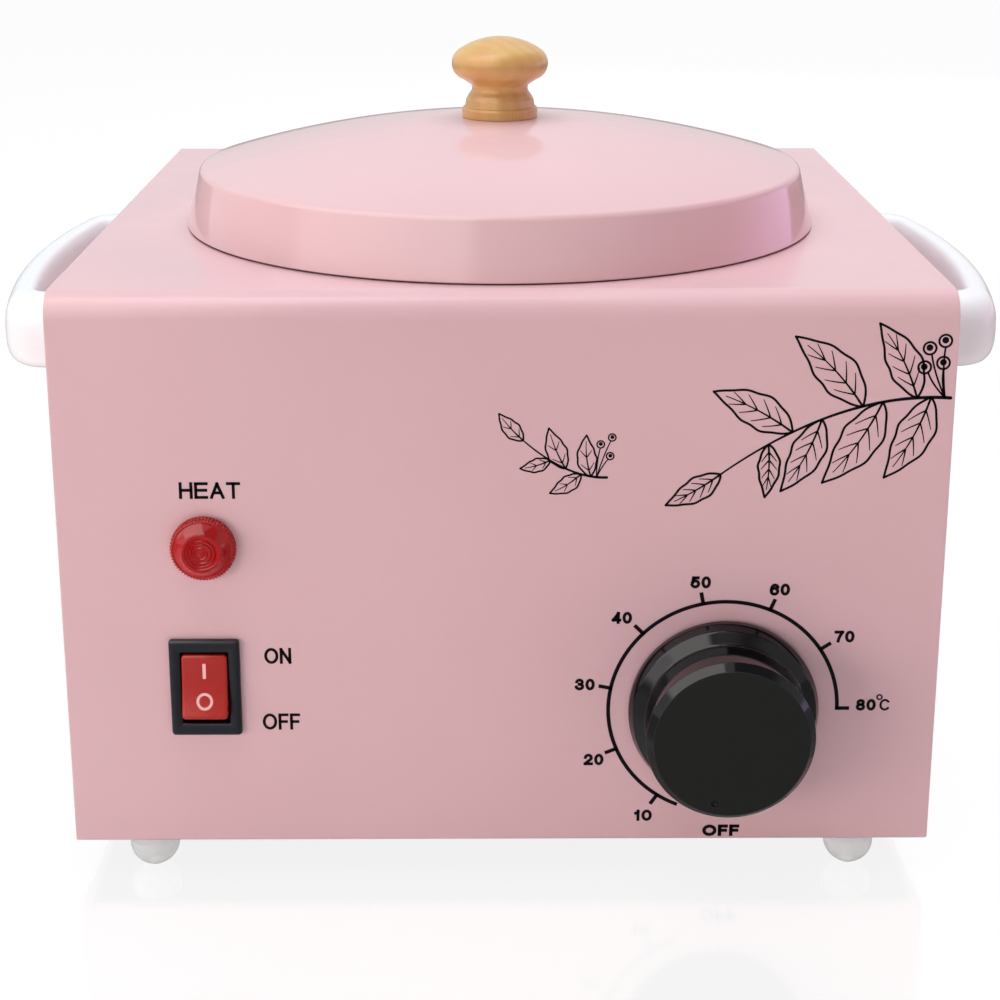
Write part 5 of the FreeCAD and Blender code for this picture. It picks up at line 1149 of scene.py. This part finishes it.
inlet_rings = [(*INLET_BODY, -INLET_DEPTH), (*INLET_BODY, -0.4), (*INLET_BODY, 0.0),
               (FLANGE[0] - 0.3, FLANGE[1] - 0.3, FLANGE[2], 0.0), (*FLANGE, 0.3),
               (*FLANGE, FLANGE_PROUD - 1.0), (FLANGE[0] - 0.25, FLANGE[1] - 0.25, 3.8, 2.6),
               (FLANGE[0] - 1.0, FLANGE[1] - 1.0, 3.1, FLANGE_PROUD),
               (14.2, 10.4, 1.6, FLANGE_PROUD), (13.9, 10.1, 1.5, FLANGE_PROUD - 0.35),
               (13.2, 9.4, 1.2, FLANGE_PROUD - 0.35), (12.9, 9.1, 1.1, FLANGE_PROUD)]
inlet_black = moulded("black glass-filled nylon", "#191A1D", "#121316", 0.42, 0.35, 0.12)
inlet = piece("inlet", [skin(lofted(inlet_rings, INLET, BACKWARD), caps=True)], inlet_black,
              "housing", "control_plastic", "mains_inlet", smooth=30)
socket_wide, socket_high = SOCKET
socket_ring = np.array([(-socket_wide, -socket_high), (socket_wide, -socket_high),
                        (socket_wide, socket_high - SOCKET_CHAMFER),
                        (socket_wide - SOCKET_CHAMFER, socket_high),
                        (SOCKET_CHAMFER - socket_wide, socket_high),
                        (-socket_wide, socket_high - SOCKET_CHAMFER)])
socket_rows = ((1.0, FLANGE_PROUD - SOCKET_DEPTH), (1.0, FLANGE_PROUD - 0.6),
               (1.06, FLANGE_PROUD + 0.3))
socket_plug = np.array([np.column_stack([socket_ring * widen, np.full(6, height)])
                        for widen, height in socket_rows])
cut(inlet, skin(socket_plug @ BACKWARD + np.array(INLET), caps=True),
    *[drill(1.6, (x, *INLET[1:]), BACKWARD, -1.0, 5.0) for x in INLET_SCREW_X], smooth=30)

# ---- Screws of the inlet and the base ----
# Zinc-plated pan-head screws with a cross recess, which cut their own thread in the sheet.


def screw_profile(head, height, shank, length):
    """Section of a screw. The head's top is a parabola that falls by 0.45 of its height, and the
    shank ends in a short cone."""
    share = np.linspace(1, 0, 9)
    crown = np.column_stack([head * share, height * (1 - 0.45 * share ** 2)])
    crown[0] = (head * 0.985, height * 0.57)
    return np.concatenate([[(0, -length), (shank * 0.4, -length), (shank, shank - length),
                            (shank, 0), (head * 0.97, 0), (head, 0.08), (head, height * 0.5)],
                           crown])


# The cross recess: its reach and half width as shares of the head's radius, its floor and the
# plug's top as shares of the head's height, and how far it narrows to its floor.
CROSS_REACH, CROSS_WIDTH, CROSS_LOW, CROSS_HIGH, CROSS_TAPER = 0.58, 0.13, 0.25, 1.2, 0.55


def cross_plug(spot, axes, reach, width, low, high):
    """Plug in the shape of a cross that narrows towards its lower end, for the recess."""
    corner = np.array([(reach, -width), (reach, width), (width, width)])
    quarter_turn = np.array([[0.0, 1.0], [-1.0, 0.0]])
    ring = np.concatenate([corner @ np.linalg.matrix_power(quarter_turn, turns)
                           for turns in range(4)])
    rows = np.array([np.column_stack([ring * share, np.full(12, height)])
                     for share, height in ((CROSS_TAPER, low), (1.0, high))])
    return skin(rows @ axes + np.array(spot, float), caps=True)


def screws(name, node, spots, axes, head, height, shank, length):
    """Screws of one kind with their seats at the spots."""
    profile = screw_profile(head, height, shank, length)
    item = piece(name, [skin(turned(profile, spot, axes, 40)) for spot in spots], zinc_fastener,
                 "housing", "fastener", node, smooth=30)
    cut(item, *[cross_plug(spot, axes, head * CROSS_REACH, head * CROSS_WIDTH, height * CROSS_LOW,
                           height * CROSS_HIGH) for spot in spots], smooth=30)


DOWNWARD = np.array([[1.0, 0, 0], [0, -1, 0], [0, 0, -1]])
screws("inlet_screw_heads", "inlet_screws",
       [(x, CASE_REAR + FLANGE_PROUD, INLET[2]) for x in INLET_SCREW_X],
       BACKWARD, 2.8, 1.8, 1.5, 8.0)
BASE_UNDER, BASE_SCREW_SPREAD = 12.0, 96.0
screws("base_screw_heads", "base_screws",
       [(across, back, BASE_UNDER) for across in (-BASE_SCREW_SPREAD, 0.0, BASE_SCREW_SPREAD)
        for back in (FOOT_FRONT, FOOT_REAR)], DOWNWARD, 3.0, 1.5, 1.5, 4.0)

# ---- Small parts inside ----
# What the housing hides: cast and plated metal, ceramic, felt and the coloured leads.

zinc_sheet = plated("zinc-plated sheet", "#A9ABAD", "#9A9C9F", 0.42, 9.0)
cast_aluminium = plated("cast aluminium", "#8F9092", "#848587", 0.55, 1.5)
black_nylon = moulded("black moulded nylon", "#17181A", "#1E1F22", 0.45, 0.4, 0.10)
white_nylon = moulded("white nylon", "#DAD7CC", "#D2CFC3", 0.42)
ceramic_white = moulded("unglazed ceramic", "#E4DFD2", "#DBD5C6", 0.75, 0.4, 0.15)
felt = moulded("ceramic fibre felt", "#ECEAE3", "#DDDAD0", 0.95, 0.5, 0.9)
brass = plated("bright brass", "#C9A659", "#C9A659", 0.25, 1.0)
copper = plated("drawn copper", "#BF7852", "#BF7852", 0.3, 1.0)
dress(zinc_sheet, "base_plate", "bulb_clip")
dress(zinc_fastener, "cutout_screws", "earth_nut", "earth_stud", "heater_nut", "heater_stud",
      "lamp_nut", "thermostat_screws")
dress(cast_aluminium, "heater_plate")
dress(felt, "insulation_pad", "insulation_sleeve")
dress(ceramic_white, "thermal_cutout")
dress(white_nylon, "lamp_body")
dress(brass, "heater_terminals", "thermostat_terminals", "switch_terminals", "inlet_pins",
      "thermostat_shaft")
dress(copper, "thermostat_bulb", "capillary_tube")
dress(black_nylon, "thermostat_body")
BROWN, BLUE = ("#5C3A24", "#4E301D"), ("#1F4A9E", "#1A4190")
GREEN, WHITE = ("#5C9A2C", "#528B27"), ("#E6E3DB", "#D9D5CB")
LEADS = {"wire_live": BROWN, "wire_switched": BROWN, "wire_heater_live": BROWN,
         "wire_neutral": BLUE, "wire_heater_neutral": BLUE, "wire_earth": GREEN,
         "wire_cutout": WHITE, "lamp_leads": WHITE}
for lead, colours in LEADS.items():
    dress(moulded(f"silicone sheath of {lead}", *colours, 0.5), lead)
